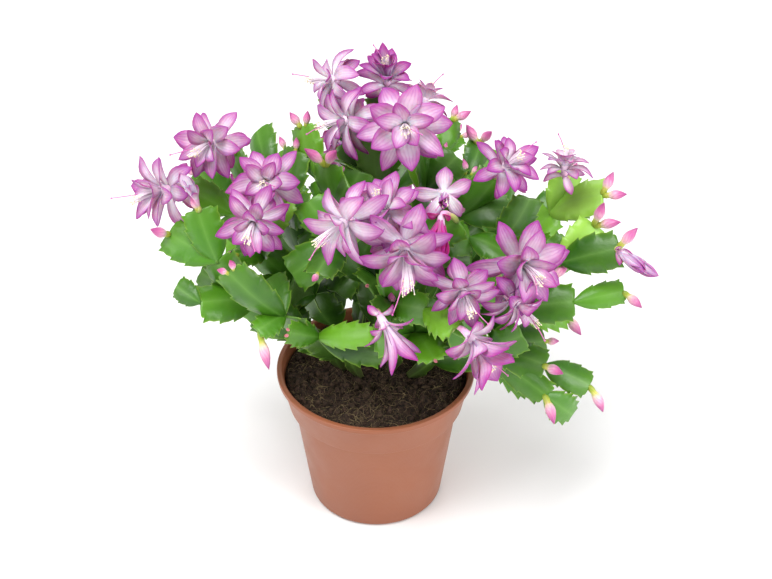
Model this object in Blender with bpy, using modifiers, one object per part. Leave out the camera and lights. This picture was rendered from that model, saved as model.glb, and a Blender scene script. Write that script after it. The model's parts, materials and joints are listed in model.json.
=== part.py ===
"""Potted christmas cactus in bloom.

Metres, +Z up. The origin is the centre of the pot's flat base, and -Y is the plant's front.
Every stem is one rooted cutting, a forked chain of flat leaf-like segments that grew as one
piece. Each open flower and each large bud is a piece of its own at a segment's end. The
smallest buds are left out of the solids.
"""

import math

import bmesh
import bpy
from mathutils import Matrix, Vector

MM = 0.001

# Pot: a thin-walled nursery pot with a stepped collar and a rolled lip.
POT_HEIGHT = 104 * MM
LIP_RADIUS = 65 * MM
LIP_DEPTH = 3.6 * MM
COLLAR_TOP_RADIUS = 62.6 * MM
COLLAR_FOOT_RADIUS = 58 * MM
COLLAR_DEPTH = 26 * MM
BODY_TOP_RADIUS = 54.6 * MM
BASE_RADIUS = 44 * MM
WALL = 1.8 * MM
FLOOR = 2.2 * MM
EDGE_ROUND = 0.8 * MM
POT_STEPS = 36
DRAIN_COUNT = 8
DRAIN_RADIUS = 4.5 * MM
DRAIN_RING_RADIUS = 30 * MM
DRAIN_SIDES = 12
NOTCH_COUNT = 4
NOTCH_TURN = math.radians(-112)
NOTCH_SIZE = (12 * MM, 23 * MM, 3 * MM)

# Soil: fills the pot to just under the lip.
SOIL_LEVEL = 96 * MM
SOIL_GAP = 0.4 * MM
SOIL_STEPS = 36
SOIL_RINGS = 5
SOIL_RELIEF = 0.9 * MM
SOCKET_RADIUS = 4.2 * MM
SOCKET_DEPTH = 12 * MM
SOCKET_SIDES = 8
ROOT_DEPTH = 10 * MM

# Segments: the flat green links of a stem.
SEGMENT_WIDTH = 25 * MM
BASAL_WIDTH = 13 * MM
SEGMENT_THICK = 2.8 * MM
JOINT_WIDTH = 6.4 * MM
JOINT_THICK = 3.4 * MM
ROOT_RADIUS = 2.6 * MM
TIP_WIDTH = 8 * MM
TIP_THICK = 1 * MM
HEEL = 1.5 * MM
HEEL_SIZE = (0.2, 0.3)  # half width and half thickness, as shares of the joint's
BRANCH_SIZE = (0.37, 0.4)
KNUCKLE_RADIUS = 4.7 * MM
SHARPEST_BEND = math.radians(60)  # a stem that turns more than this starts a fresh run
FULL_LENGTH = 36 * MM  # a shorter segment is narrower too
NARROWEST = 0.25
THINNING = 0.35
# (share of the length, share of the full width): a narrow claw, two teeth a side, a blunt end
OUTLINE_TOOTHED = ((0.4, 0.9), (0.52, 0.76), (0.82, 1.0))
OUTLINE_BASAL = ((0.6, 1.0),)
BOW = 0.05
ROOT_ARCH = 0.55  # how far up and out a rooted stem's arch turns over
CROWN = Vector((0, 20 * MM, SOIL_LEVEL))
FACING_RADIAL, FACING_FRONT, FACING_UP = 0.6, 0.5, 0.8

# Flowers and buds
FLOWER_GAP = 2.4 * MM
BUD_GAP = 3.4 * MM
PETALS = 5
# (share of the length, radius in mm) of the flower's green ovary, neck and tube
FLOWER_TUBE = ((0, 1.5), (0.1, 3.2), (0.2, 2.3), (0.55, 4.2))
# The petals from the outside in, as shares of the length and of the mouth's radius:
# (notch height, tip height, notch radius, tip radius, mm added to the notch radius)
FLOWER_PETALS = ((0.86, 1, 0.34, 1, 2), (0.78, 0.84, 0.18, 0.4, 1))
THROAT_HEIGHT = 0.7
STAMEN_RADIUS = 1.6 * MM
STAMEN_TIP_RADIUS = 0.9 * MM
STAMEN_REACH = 5 * MM
BUD_PROFILE = ((0, 1.3), (0.16, 2.9), (0.3, 2.2), (0.6, 3.5), (1, 0.5))
BUD_SIDES = 6

GREEN = (0.072, 0.155, 0.030, 1)
VIOLET = (0.50, 0.16, 0.46, 1)
PALE_VIOLET = (0.72, 0.50, 0.70, 1)
BUD_PINK = (0.72, 0.26, 0.47, 1)
TERRACOTTA = (0.407, 0.168, 0.108, 1)
SOIL_BROWN = (0.022, 0.013, 0.010, 1)

SHARP_EDGE = math.radians(50)

# Each stem: where it is rooted (x, y in mm), then its joints, each as
# (joint, grows from, end point in mm, number of segments, roll in degrees).
STEMS = {
    "stem_left_low": (
        (-18, 8),
        (
            ("AB", "root", (-45, -15, 140), 2, 0),
            ("A0", "AB", (-75, -20, 170), 1, 0),
            ("A1", "A0", (-95, -25, 205), 1, 0),
            ("A2", "A1", (-125, -10, 215), 1, 0),
            ("A3", "A1", (-105, -15, 235), 1, 20),
            ("A4", "A0", (-105, -40, 185), 1, 0),
            ("A5", "A4", (-120, -30, 190), 1, 0),
            ("A6", "A0", (-110, 5, 175), 1, 0),
            ("A7", "AB", (-76, -12, 152), 1, 0),
            ("A8", "AB", (-54, -1, 148), 1, 20),
            ("B0", "AB", (-55, -40, 175), 1, 0),
            ("B1", "B0", (-70, -55, 175), 1, 0),
            ("B2", "B0", (-85, -50, 215), 1, 0),
            ("B3", "B0", (-65, -15, 185), 1, 0),
        ),
    ),
    "stem_left_up": (
        (-18, 22),
        (
            ("CD", "root", (-40, 15, 150), 2, 0),
            ("C0", "CD", (-70, 10, 185), 1, 0),
            ("C1", "C0", (-90, 20, 210), 1, 0),
            ("C1b", "C1", (-115, 25, 225), 1, 0),
            ("C2", "C0", (-85, -5, 195), 1, 0),
            ("C3", "C0", (-65, -10, 225), 1, 0),
            ("C4", "C0", (-55, 20, 220), 1, 0),
            ("D0", "CD", (-55, 30, 205), 2, 0),
            ("D1", "D0", (-65, 45, 225), 1, 0),
            ("D1b", "D1", (-75, 70, 240), 1, 0),
            ("D2", "D0", (-80, 40, 220), 1, 0),
            ("D2b", "D2", (-90, 50, 235), 1, 0),
            ("D3", "D0", (-50, 45, 240), 1, 0),
            ("C5", "CD", (-52, -12, 176), 1, 0),
            ("C7", "CD", (-70, -4, 168), 1, 0),
            ("C8", "CD", (-20, 30, 136), 1, 60),
            ("D4", "D0", (-42, 5, 222), 1, 0),
        ),
    ),
    "stem_top_left": (
        (-6, 26),
        (
            ("EF", "root", (-10, 28, 172), 2, 0),
            ("E0", "EF", (-22, 20, 208), 1, 0),
            ("E1", "E0", (-35, 35, 225), 1, 0),
            ("E1b", "E1", (-45, 50, 255), 1, 0),
            ("E2", "E0", (-30, 20, 245), 1, 0),
            ("E3", "E0", (-46, 10, 190), 1, 0),
            ("E4", "EF", (-38, 8, 178), 1, 0),
            ("E5", "E0", (-16, 8, 238), 1, 15),
            ("E8", "E0", (-9, 27, 236), 1, 30),
            ("E6", "EF", (-25, 3, 161), 1, 0),
            ("F0", "EF", (0, 42, 215), 1, 0),
            ("F1", "F0", (0, 42, 255), 1, 0),
            ("F2", "F0", (-12, 65, 255), 1, 0),
            ("F3", "F0", (-18, 55, 240), 1, 0),
            ("F3b", "F3", (-26, 76, 262), 1, 0),
            ("F4", "F0", (10, 60, 240), 1, 0),
            ("F5", "F4", (2, 80, 260), 1, 0),
            ("F6", "F0", (-22, 36, 238), 1, 0),
        ),
    ),
    "stem_top_right": (
        (7, 24),
        (
            ("GH", "root", (28, 26, 168), 2, 0),
            ("G0", "GH", (30, 38, 212), 1, 0),
            ("G1", "G0", (42, 50, 235), 1, 0),
            ("G1b", "G1", (48, 62, 253), 1, 0),
            ("G2", "G0", (25, 30, 255), 1, 0),
            ("G3", "G0", (26, 66, 235), 1, 0),
            ("G3b", "G3", (28, 84, 248), 1, 0),
            ("G4", "GH", (44, 8, 192), 1, 0),
            ("G5", "G0", (51, 45, 236), 1, 0),
            ("H0", "GH", (52, 25, 205), 1, 0),
            ("H1", "H0", (58, 42, 225), 1, 0),
            ("H1b", "H1", (66, 58, 238), 1, 0),
            ("H2", "H0", (75, 20, 238), 1, 0),
            ("H3", "H0", (42, 12, 238), 1, 0),
            ("H4", "H0", (84, 20, 212), 1, 0),
            ("H5", "GH", (61, 16, 176), 1, 0),
        ),
    ),
    "stem_centre": (
        (0, 12),
        (
            ("PQ", "root", (0, -2, 172), 2, 0),
            ("P0", "PQ", (-20, -15, 212), 1, 0),
            ("P1", "P0", (-15, -35, 245), 1, 0),
            ("P2", "P0", (-40, -5, 235), 1, 0),
            ("P3", "P0", (-50, -25, 195), 1, 0),
            ("P4", "P0", (-34, -42, 208), 1, 0),
            ("P5", "PQ", (-4, -30, 190), 1, 0),
            ("Q0", "PQ", (20, -15, 212), 1, 0),
            ("Q1", "Q0", (15, -32, 238), 1, 0),
            ("Q2", "Q0", (40, -42, 222), 1, 0),
            ("Q3", "Q0", (50, -22, 232), 1, 0),
            ("Q4", "Q0", (58, 0, 205), 1, 0),
            ("Q5", "PQ", (30, -12, 186), 1, 0),
            ("Q6", "Q4", (84, -14, 200), 1, 0),
        ),
    ),
    "stem_front": (
        (8, 4),
        (
            ("MN", "root", (24, -24, 150), 2, 0),
            ("M0", "MN", (42, -40, 182), 1, 0),
            ("M1", "M0", (60, -52, 205), 1, 0),
            ("M2", "M0", (45, -68, 185), 1, 0),
            ("M3", "M0", (62, -40, 148), 1, 0),
            ("M4", "M0", (76, -28, 198), 1, 0),
            ("M5", "MN", (36, -54, 152), 1, 0),
            ("N0", "MN", (10, -45, 188), 1, 0),
            ("N1", "N0", (2, -65, 196), 1, 0),
            ("N2", "N0", (15, -50, 220), 1, 0),
            ("N3", "N0", (30, -64, 198), 1, 0),
            ("N3b", "N3", (45, -88, 202), 1, 0),
            ("N4", "MN", (0, -46, 160), 1, 0),
        ),
    ),
    "stem_front_left": (
        (-8, 2),
        (
            ("O0", "root", (-35, -35, 155), 2, 0),
            ("O1", "O0", (-52, -52, 172), 1, 0),
            ("O2", "O0", (-2, -58, 175), 1, 0),
            ("O3", "O0", (5, -32, 142), 1, 0),
        ),
    ),
    "stem_right_back": (
        (19, 26),
        (
            ("I0", "root", (85, 28, 175), 3, 0),
            ("I1", "I0", (112, 38, 198), 1, 0),
            ("I2", "I1", (124, 50, 222), 1, 0),
            ("I3", "I1", (142, 25, 220), 1, 0),
            ("I4", "I0", (78, 5, 200), 1, 0),
            ("I4b", "I4", (94, 6, 230), 1, 0),
            ("I5", "I0", (110, 20, 186), 1, 0),
            ("I6", "I1", (140, 52, 200), 1, 0),
        ),
    ),
    "stem_right": (
        (20, 13),
        (
            ("JK", "root", (62, 2, 142), 2, 0),
            ("J0", "JK", (98, 8, 168), 1, 0),
            ("J1", "J0", (115, -8, 192), 1, 0),
            ("J1b", "J1", (135, 5, 211), 1, 0),
            ("J2", "J1", (147, -20, 211), 1, 0),
            ("J3", "J0", (122, 12, 192), 1, 0),
            ("K0", "JK", (86, -16, 162), 1, 0),
            ("K1", "K0", (122, -26, 175), 1, 0),
            ("K1b", "K1", (153, -20, 179), 1, 0),
            ("K2", "K0", (122, -4, 150), 1, 0),
            ("K3", "K0", (108, -8, 180), 1, 0),
            ("K4", "JK", (66, -28, 160), 1, 0),
            ("K5", "JK", (78, 20, 172), 1, 0),
        ),
    ),
    "stem_right_low": (
        (16, 2),
        (
            ("L0", "root", (70, -26, 138), 2, 0),
            ("L1", "L0", (105, -42, 138), 1, 0),
            ("L1b", "L1", (134, -42, 122), 1, 0),
            ("L2", "L0", (105, -56, 126), 1, 30),
            ("L3", "L2", (124, -48, 103), 1, 20),
            ("L4", "L0", (90, -40, 160), 1, 0),
            ("L5", "L0", (108, -10, 132), 1, 0),
            ("L6", "L0", (96, -40, 114), 1, 20),
        ),
    ),
    "stem_back_right": (
        (12, 36),
        (
            ("R0", "root", (75, 72, 160), 3, 0),
            ("R1", "R0", (104, 76, 174), 1, 0),
            ("R1b", "R1", (132, 85, 182), 1, 0),
            ("R2", "R0", (88, 108, 178), 1, 0),
            ("R3", "R0", (70, 84, 190), 1, 0),
            ("R4", "R0", (110, 70, 150), 1, 0),
            ("R5", "R0", (90, 56, 188), 1, 0),
            ("R3b", "R3", (82, 100, 206), 1, 0),
        ),
    ),
    "stem_back": (
        (2, 38),
        (
            ("S0", "root", (15, 88, 185), 3, 0),
            ("S1", "S0", (36, 96, 205), 1, 0),
            ("S2", "S0", (-10, 105, 212), 1, 0),
            ("S2b", "S2", (-20, 118, 228), 1, 0),
            ("S3", "S0", (20, 124, 180), 1, 0),
            ("S1b", "S1", (55, 108, 215), 1, 0),
        ),
    ),
    "stem_back_low": (
        (-8, 36),
        (
            ("U0", "root", (-20, 82, 140), 2, 0),
            ("U1", "U0", (-52, 98, 148), 1, 0),
            ("U2", "U0", (-12, 118, 135), 1, 0),
            ("U3", "U0", (16, 102, 150), 1, 0),
        ),
    ),
    "stem_back_left": (
        (-18, 32),
        (
            ("T0", "root", (-65, 68, 168), 3, 0),
            ("T1", "T0", (-94, 74, 182), 1, 0),
            ("T1b", "T1", (-118, 78, 204), 1, 0),
            ("T2", "T0", (-75, 102, 180), 1, 0),
            ("T3", "T0", (-52, 86, 190), 1, 0),
            ("T4", "T0", (-100, 58, 158), 1, 0),
            ("T5", "T0", (-90, 58, 192), 1, 0),
            ("T3b", "T3", (-60, 100, 208), 1, 0),
        ),
    ),
}

# Each flower: (joint that bears it, centre of its mouth in mm, radius of its mouth in mm, pale)
FLOWERS = {
    "flower_far_left": ("C1b", (-136, 0, 238), 22, False),
    "flower_left_up": ("D2b", (-103, 15, 262), 23, False),
    "flower_left_inner": ("C4", (-65, -15, 255), 22, False),
    "flower_left_front": ("C3", (-71, -48, 245), 21, False),
    "flower_centre_left": ("P1", (-23, -72, 260), 22, False),
    "flower_centre": ("Q1", (5, -58, 269), 22, False),
    "flower_top_large": ("G2", (18, 0, 284), 27, False),
    "flower_crest": ("F5", (7, 72, 284), 20, False),
    "flower_top_left": ("F3b", (-33, 62, 282), 18, False),
    "flower_top_side": ("F2", (-25, 30, 270), 20, False),
    "flower_top_right": ("G3b", (34, 90, 258), 15, True),
    "flower_right_up": ("H2", (81, -6, 265), 20, False),
    "flower_right_pale": ("I2", (117, 28, 247), 15, True),
    "flower_centre_star": ("H3", (41, -23, 250), 16, False),
    "flower_centre_hanging": ("Q3", (38, -48, 237), 9, False),
    "flower_front_large": ("N2", (18, -84, 244), 27, False),
    "flower_front_right": ("M1", (52, -86, 222), 19, False),
    "flower_right_large": ("I4b", (90, -60, 224), 27, False),
    "flower_right_low": ("M2", (61, -102, 197), 18, False),
    "flower_right_mid": ("M4", (88, -70, 201), 18, False),
    "flower_front_narrow": ("N1", (12, -95, 198), 12, False),
    "flower_left_opening": ("A3", (-112, -20, 262), 7, True),
    "flower_right_opening": ("J2", (164, -38, 207), 8, False),
    "flower_back_left": ("T2", (-88, 132, 164), 20, False),
    "flower_back_top": ("S2", (-24, 146, 188), 20, False),
    "flower_back_right": ("R2", (88, 145, 168), 20, False),
    "flower_back_low": ("S3", (24, 158, 162), 18, False),
}

# Each large bud: (joint that bears it, its tip in mm)
BUDS = {
    "bud_left_tip": ("A2", (-134, -20, 225)),
    "bud_left_hanging": ("B1", (-64, -62, 151)),
    "bud_top_left_a": ("E2", (-42, 8, 264)),
    "bud_top_left_b": ("E2", (-23, 9, 262)),
    "bud_top_right": ("G1b", (60, 60, 260)),
    "bud_right_up_a": ("H1b", (57, 52, 255)),
    "bud_right_up_b": ("H1b", (73, 52, 250)),
    "bud_right_outer_a": ("I3", (148, 30, 234)),
    "bud_right_outer_b": ("I3", (156, 20, 224)),
    "bud_right_mid_a": ("J1b", (139, 0, 231)),
    "bud_right_mid_b": ("J1b", (150, -2, 218)),
    "bud_right_tip": ("J2", (157, -20, 226)),
    "bud_right_low_a": ("K1b", (164, -28, 172)),
    "bud_right_low_b": ("K2", (131, -12, 138)),
    "bud_right_hanging_a": ("L2", (110, -71, 115)),
    "bud_right_hanging_b": ("L1b", (144, -46, 103)),
}


def clear_scene():
    for old in list(bpy.data.objects):
        bpy.data.objects.remove(old)


def collection(name):
    made = bpy.data.collections.new(name)
    bpy.context.scene.collection.children.link(made)
    return made


def paint(node, colour, roughness):
    finish = bpy.data.materials.new(node.name)
    finish.use_nodes = True
    shader = finish.node_tree.nodes["Principled BSDF"]
    shader.inputs["Base Color"].default_value = colour
    shader.inputs["Roughness"].default_value = roughness
    shader.inputs["Metallic"].default_value = 0
    node.data.materials.clear()
    node.data.materials.append(finish)


def place(name, mesh, into):
    node = bpy.data.objects.new(name, mesh)
    into.objects.link(node)
    return node


def smoothed(mesh):
    """Shades the mesh smooth, but for its real corners."""
    mesh.shade_smooth()
    mesh.set_sharp_from_angle(angle=SHARP_EDGE)
    return mesh


def baked(node):
    """The object's mesh with its modifiers applied; the object is removed."""
    graph = bpy.context.evaluated_depsgraph_get()
    mesh = bpy.data.meshes.new_from_object(node.evaluated_get(graph))
    bpy.data.objects.remove(node)
    return mesh


def loft(name, rings):
    """A closed mesh through rings of as many points each, with a cap at each end."""
    form = bmesh.new()
    loops = [[form.verts.new(point) for point in ring] for ring in rings]
    for near, far in zip(loops, loops[1:]):
        for i in range(len(near)):
            j = (i + 1) % len(near)
            form.faces.new((near[i], near[j], far[j], far[i]))
    form.faces.new(loops[0])
    form.faces.new(loops[-1])
    bmesh.ops.recalc_face_normals(form, faces=form.faces)
    mesh = bpy.data.meshes.new(name)
    form.to_mesh(mesh)
    form.free()
    return smoothed(mesh)


def turned(name, profile, steps, into):
    """The mesh of a solid turned round Z from a profile of (radius, height), inside first."""
    mesh = bpy.data.meshes.new(name)
    points = [(radius, 0, height) for radius, height in profile]
    mesh.from_pydata(points, [(i, i + 1) for i in range(len(points) - 1)], [])
    node = place(name, mesh, into)
    screw = node.modifiers.new("turn", "SCREW")
    screw.steps = screw.render_steps = steps
    screw.use_merge_vertices = True
    screw.merge_threshold = 0.00005
    return smoothed(baked(node))


def cutter(name, mesh, cutters):
    node = place(name, mesh, cutters)
    node.hide_render = True
    node.display_type = "WIRE"
    return node


def merged_cutter(name, shapes, cutters):
    """One cutter from several separate closed shapes."""
    form = bmesh.new()
    for shape in shapes:
        shape(form)
    bmesh.ops.recalc_face_normals(form, faces=form.faces)
    mesh = bpy.data.meshes.new(name)
    form.to_mesh(mesh)
    form.free()
    return cutter(name, mesh, cutters)


def cylinder_at(x, y, low, high, radius, sides):
    def add(form):
        spot = Matrix.Translation((x, y, (low + high) / 2))
        bmesh.ops.create_cone(
            form, cap_ends=True, segments=sides, radius1=radius, radius2=radius,
            depth=high - low, matrix=spot,
        )
    return add


def box_at(angle, radius, size):
    def add(form):
        turn = Matrix.Rotation(angle, 4, "Z")
        spot = turn @ Matrix.Translation((radius, 0, 0)) @ Matrix.Diagonal((*size, 1))
        bmesh.ops.create_cube(form, size=1, matrix=spot)
    return add


def subtract(node, tool):
    cut = node.modifiers.new(tool.name, "BOOLEAN")
    cut.operation = "DIFFERENCE"
    cut.object = tool


def make_pot(parts, cutters):
    step = POT_HEIGHT - COLLAR_DEPTH
    lip_foot = POT_HEIGHT - LIP_DEPTH
    profile = (
        (0, FLOOR),
        (BASE_RADIUS - WALL, FLOOR),
        (BODY_TOP_RADIUS - WALL, step - WALL),
        (COLLAR_FOOT_RADIUS - WALL, step + WALL),
        (COLLAR_TOP_RADIUS - WALL, lip_foot),
        (COLLAR_TOP_RADIUS - WALL + EDGE_ROUND, POT_HEIGHT),
        (LIP_RADIUS - EDGE_ROUND, POT_HEIGHT),
        (LIP_RADIUS, POT_HEIGHT - EDGE_ROUND),
        (LIP_RADIUS, lip_foot + EDGE_ROUND),
        (COLLAR_TOP_RADIUS, lip_foot - EDGE_ROUND),
        (COLLAR_FOOT_RADIUS, step + EDGE_ROUND),
        (COLLAR_FOOT_RADIUS - EDGE_ROUND, step),
        (BODY_TOP_RADIUS, step - EDGE_ROUND),
        (BASE_RADIUS + EDGE_ROUND, 2 * EDGE_ROUND),
        (BASE_RADIUS - EDGE_ROUND, 0),
        (0, 0),
    )
    pot = place("pot", turned("pot", profile, POT_STEPS, parts), parts)
    turn = 2 * math.pi / DRAIN_COUNT
    shapes = [
        cylinder_at(
            DRAIN_RING_RADIUS * math.cos(turn * i), DRAIN_RING_RADIUS * math.sin(turn * i),
            -2 * FLOOR, 2 * FLOOR, DRAIN_RADIUS, DRAIN_SIDES,
        )
        for i in range(DRAIN_COUNT)
    ]
    turn = 2 * math.pi / NOTCH_COUNT
    shapes += [
        box_at(NOTCH_TURN + turn * i, BASE_RADIUS, NOTCH_SIZE) for i in range(NOTCH_COUNT)
    ]
    subtract(pot, merged_cutter("drain_cutter", shapes, cutters))
    paint(pot, TERRACOTTA, 0.45)


def soil_relief(x, y):
    """Height of the crumbly surface over its mean level."""
    wave = math.sin(210 * x + 1.3) * math.cos(170 * y) + 0.6 * math.sin(330 * y + 260 * x)
    return SOIL_RELIEF * wave


def make_soil(parts, cutters):
    step = POT_HEIGHT - COLLAR_DEPTH
    inset = WALL + SOIL_GAP
    rise = (COLLAR_TOP_RADIUS - COLLAR_FOOT_RADIUS) / (POT_HEIGHT - LIP_DEPTH - step - WALL)
    rim = COLLAR_FOOT_RADIUS - inset + rise * (SOIL_LEVEL - step - WALL)
    top = [(rim * i / SOIL_RINGS, SOIL_LEVEL) for i in range(SOIL_RINGS)]
    profile = (
        *top,
        (rim, SOIL_LEVEL),
        (COLLAR_FOOT_RADIUS - inset, step + 2 * WALL),
        (BODY_TOP_RADIUS - inset, step - 1.2 * WALL),
        (BASE_RADIUS - inset, FLOOR + SOIL_GAP),
        (0, FLOOR + SOIL_GAP),
    )
    mesh = turned("soil", profile, SOIL_STEPS, parts)
    for vert in mesh.vertices:
        inside = math.hypot(vert.co.x, vert.co.y) < rim - MM
        if inside and vert.co.z > SOIL_LEVEL - MM:
            vert.co.z += soil_relief(vert.co.x, vert.co.y)
    soil = place("soil", mesh, parts)
    bottom = SOIL_LEVEL - SOCKET_DEPTH
    sockets = [
        cylinder_at(x * MM, y * MM, bottom, POT_HEIGHT, SOCKET_RADIUS, SOCKET_SIDES)
        for (x, y), _ in STEMS.values()
    ]
    subtract(soil, merged_cutter("socket_cutter", sockets, cutters))
    paint(soil, SOIL_BROWN, 0.95)


def facing(middle, along, roll):
    """The way a segment's flat side looks: out from the crown, forward and up, across its run."""
    out = Vector((middle.x - CROWN.x, middle.y - CROWN.y, 0))
    out = out.normalized() * FACING_RADIAL + Vector((0, -FACING_FRONT, FACING_UP))
    across = out - along * out.dot(along)
    return Matrix.Rotation(math.radians(roll), 3, along) @ across.normalized()


def arched(start, end, count, rooted):
    """The ends of `count` segments from start to end, on an arch that leaves a root upright."""
    if count == 1:
        return [end]
    middle = (start + end) / 2
    if rooted:
        middle = Vector((start.x, start.y, 0)).lerp(middle, ROOT_ARCH)
        middle.z = start.z + ROOT_ARCH * (end.z - start.z)
    points = []
    for i in range(1, count + 1):
        t = i / count
        points.append(start * (1 - t) ** 2 + middle * 2 * t * (1 - t) + end * t * t)
    return points


def cross_ring(centre, along, face, half_width, half_thick):
    """Four corners across a segment: left edge, upper ridge, right edge, lower ridge."""
    side = along.cross(face).normalized()
    up = side.cross(along).normalized()
    return (
        centre - side * half_width,
        centre + up * half_thick,
        centre + side * half_width,
        centre - up * half_thick,
    )


def segment_rings(start, end, roll, width, outline, before):
    """The rings of one segment between its two joints, and the way that it faces."""
    along = (end - start).normalized()
    length = (end - start).length
    face = facing((start + end) / 2, along, roll)
    if before is not None and face.dot(before) < 0:
        face = -face
    width *= min(1, NARROWEST + (1 - NARROWEST) * length / FULL_LENGTH)
    rings = []
    for share, wide in outline:
        centre = start.lerp(end, share) + face * BOW * length * math.sin(math.pi * share)
        thick = SEGMENT_THICK * (1 - THINNING * share)
        rings.append(cross_ring(centre, along, face, width * wide / 2, thick / 2))
    return rings, face


def run_mesh(name, start, steps, rooted):
    """One unbranched run of segments. Each step is (end, roll, basal)."""
    rings = []
    if rooted:
        for drop in (ROOT_DEPTH, 0):
            foot = start - Vector((0, 0, drop))
            rings.append(
                cross_ring(foot, Vector((0, 0, 1)), Vector((0, -1, 0)), ROOT_RADIUS, ROOT_RADIUS)
            )
    here = start
    face = Vector((0, -1, 0)) if rooted else None
    for i, (end, roll, basal) in enumerate(steps):
        width = BASAL_WIDTH if basal else SEGMENT_WIDTH
        outline = OUTLINE_BASAL if basal else OUTLINE_TOOTHED
        along = (end - here).normalized()
        body, face = segment_rings(here, end, roll, width, outline, face)
        if i == 0 and not rooted:
            for back, (wide, thick) in ((HEEL, HEEL_SIZE), (0, BRANCH_SIZE)):
                spot = here - along * back
                ring = cross_ring(spot, along, face, wide * JOINT_WIDTH, thick * JOINT_THICK)
                rings.append(ring)
        rings += body
        if i + 1 < len(steps):
            onward = (steps[i + 1][0] - end).normalized()
            through = (along + onward).normalized()
            rings.append(cross_ring(end, through, face, JOINT_WIDTH / 2, JOINT_THICK / 2))
        else:
            rings.append(cross_ring(end, along, face, TIP_WIDTH / 2, TIP_THICK / 2))
        here = end
    return loft(name, rings)


def stem_runs(root, joints):
    """Splits a stem's forks into unbranched runs, and gives each joint's place."""
    start = Vector((root[0] * MM, root[1] * MM, SOIL_LEVEL))
    places = {"root": start}
    runs = []
    open_runs = {}
    arrival = {}
    for joint, parent, end, count, roll in joints:
        end = Vector(end) * MM
        rooted = parent == "root"
        steps = [(point, roll, rooted) for point in arched(places[parent], end, count, rooted)]
        onward = steps[0][0] - places[parent]
        if parent in open_runs and onward.angle(arrival[parent]) < SHARPEST_BEND:
            run = open_runs.pop(parent)
            run[1].extend(steps)
        else:
            run = (places[parent], steps, rooted)
            runs.append(run)
        open_runs[joint] = run
        arrival[joint] = end - (steps[-2][0] if count > 1 else places[parent])
        places[joint] = end
    return runs, places


def knuckle_mesh(name, centre):
    form = bmesh.new()
    bmesh.ops.create_icosphere(
        form, subdivisions=1, radius=KNUCKLE_RADIUS, matrix=Matrix.Translation(centre)
    )
    mesh = bpy.data.meshes.new(name)
    form.to_mesh(mesh)
    form.free()
    return mesh


def grown_together(name, meshes, parts):
    """One mesh from overlapping ones."""
    whole = place(name, meshes[0], parts)
    for mesh in meshes[1:]:
        twig = place(f"{name}_twig", mesh, parts)
        join = whole.modifiers.new("fork", "BOOLEAN")
        join.operation = "UNION"
        join.solver = "MANIFOLD"  # the exact solver drops whole twigs where three or more meet
        join.object = twig
        joined = baked(whole)
        joined.name = name
        bpy.data.objects.remove(twig)
        whole = place(name, joined, parts)
    return whole


def drop_crumbs(mesh):
    """Deletes the specks that a union can leave inside a fork: all but the largest shell."""
    form = bmesh.new()
    form.from_mesh(mesh)
    unseen = set(form.verts)
    shells = []
    while unseen:
        shell = set()
        edge_of = [unseen.pop()]
        while edge_of:
            vert = edge_of.pop()
            shell.add(vert)
            near = [edge.other_vert(vert) for edge in vert.link_edges]
            fresh = [other for other in near if other in unseen]
            unseen.difference_update(fresh)
            edge_of.extend(fresh)
        shells.append(shell)
    shells.sort(key=len)
    for shell in shells[:-1]:
        bmesh.ops.delete(form, geom=list(shell), context="VERTS")
    form.to_mesh(mesh)
    form.free()


def make_stem(name, root, joints, parts):
    runs, places = stem_runs(root, joints)
    meshes = [run_mesh(name, *run) for run in runs]
    parents = [joint[1] for joint in joints]
    forks = sorted({parent for parent in parents if parents.count(parent) > 1})
    meshes += [knuckle_mesh(name, places[fork]) for fork in forks]
    stem = grown_together(name, meshes, parts)
    drop_crumbs(stem.data)
    smoothed(stem.data)
    paint(stem, GREEN, 0.42)
    return places


def star_ring(origin, frame, notch_height, tip_height, notch_radius, tip_radius):
    """A ring of petal tips and the notches between them, round the flower's own axis."""
    points = []
    for i in range(2 * PETALS):
        angle = math.pi * i / PETALS
        is_tip = i % 2 == 0
        far = tip_radius if is_tip else notch_radius
        up = tip_height if is_tip else notch_height
        points.append(origin + frame @ Vector((far * math.cos(angle), far * math.sin(angle), up)))
    return points


def axis_frame(along):
    """A frame whose Z is the given direction and whose X is level."""
    level = Vector((0, 0, 1)).cross(along).normalized()
    return Matrix((level, along.cross(level), along)).transposed()


def make_flower(name, bearer, mouth, radius, pale, parts):
    """A flared star: ovary, tube, pointed petals, and the stamens standing out of its throat."""
    mouth = Vector(mouth) * MM
    radius *= MM
    along = (mouth - bearer).normalized()
    origin = bearer + along * FLOWER_GAP
    reach = (mouth - origin).length
    frame = axis_frame(along)
    rings = [
        star_ring(origin, frame, reach * share, reach * share, r * MM, r * MM)
        for share, r in FLOWER_TUBE
    ]
    rings += [
        star_ring(origin, frame, reach * low, reach * high, radius * inner + extra * MM, radius * outer)
        for low, high, inner, outer, extra in FLOWER_PETALS
    ]
    throat = THROAT_HEIGHT * reach
    tip = reach + STAMEN_REACH
    rings.append(star_ring(origin, frame, throat, throat, STAMEN_RADIUS, STAMEN_RADIUS))
    rings.append(star_ring(origin, frame, tip, tip, STAMEN_TIP_RADIUS, STAMEN_TIP_RADIUS))
    flower = place(name, loft(name, rings), parts)
    paint(flower, PALE_VIOLET if pale else VIOLET, 0.5)


def make_bud(name, bearer, tip, parts):
    """A spindle: green ovary, a waist, and the closed petals drawn to a point."""
    tip = Vector(tip) * MM
    along = (tip - bearer).normalized()
    origin = bearer + along * BUD_GAP
    reach = (tip - origin).length
    frame = axis_frame(along)
    rings = []
    for share, radius in BUD_PROFILE:
        ring = []
        for i in range(BUD_SIDES):
            angle = 2 * math.pi * i / BUD_SIDES
            offset = Vector((math.cos(angle), math.sin(angle), 0)) * radius * MM
            offset.z = reach * share
            ring.append(origin + frame @ offset)
        rings.append(ring)
    bud = place(name, loft(name, rings), parts)
    paint(bud, BUD_PINK, 0.45)


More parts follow.
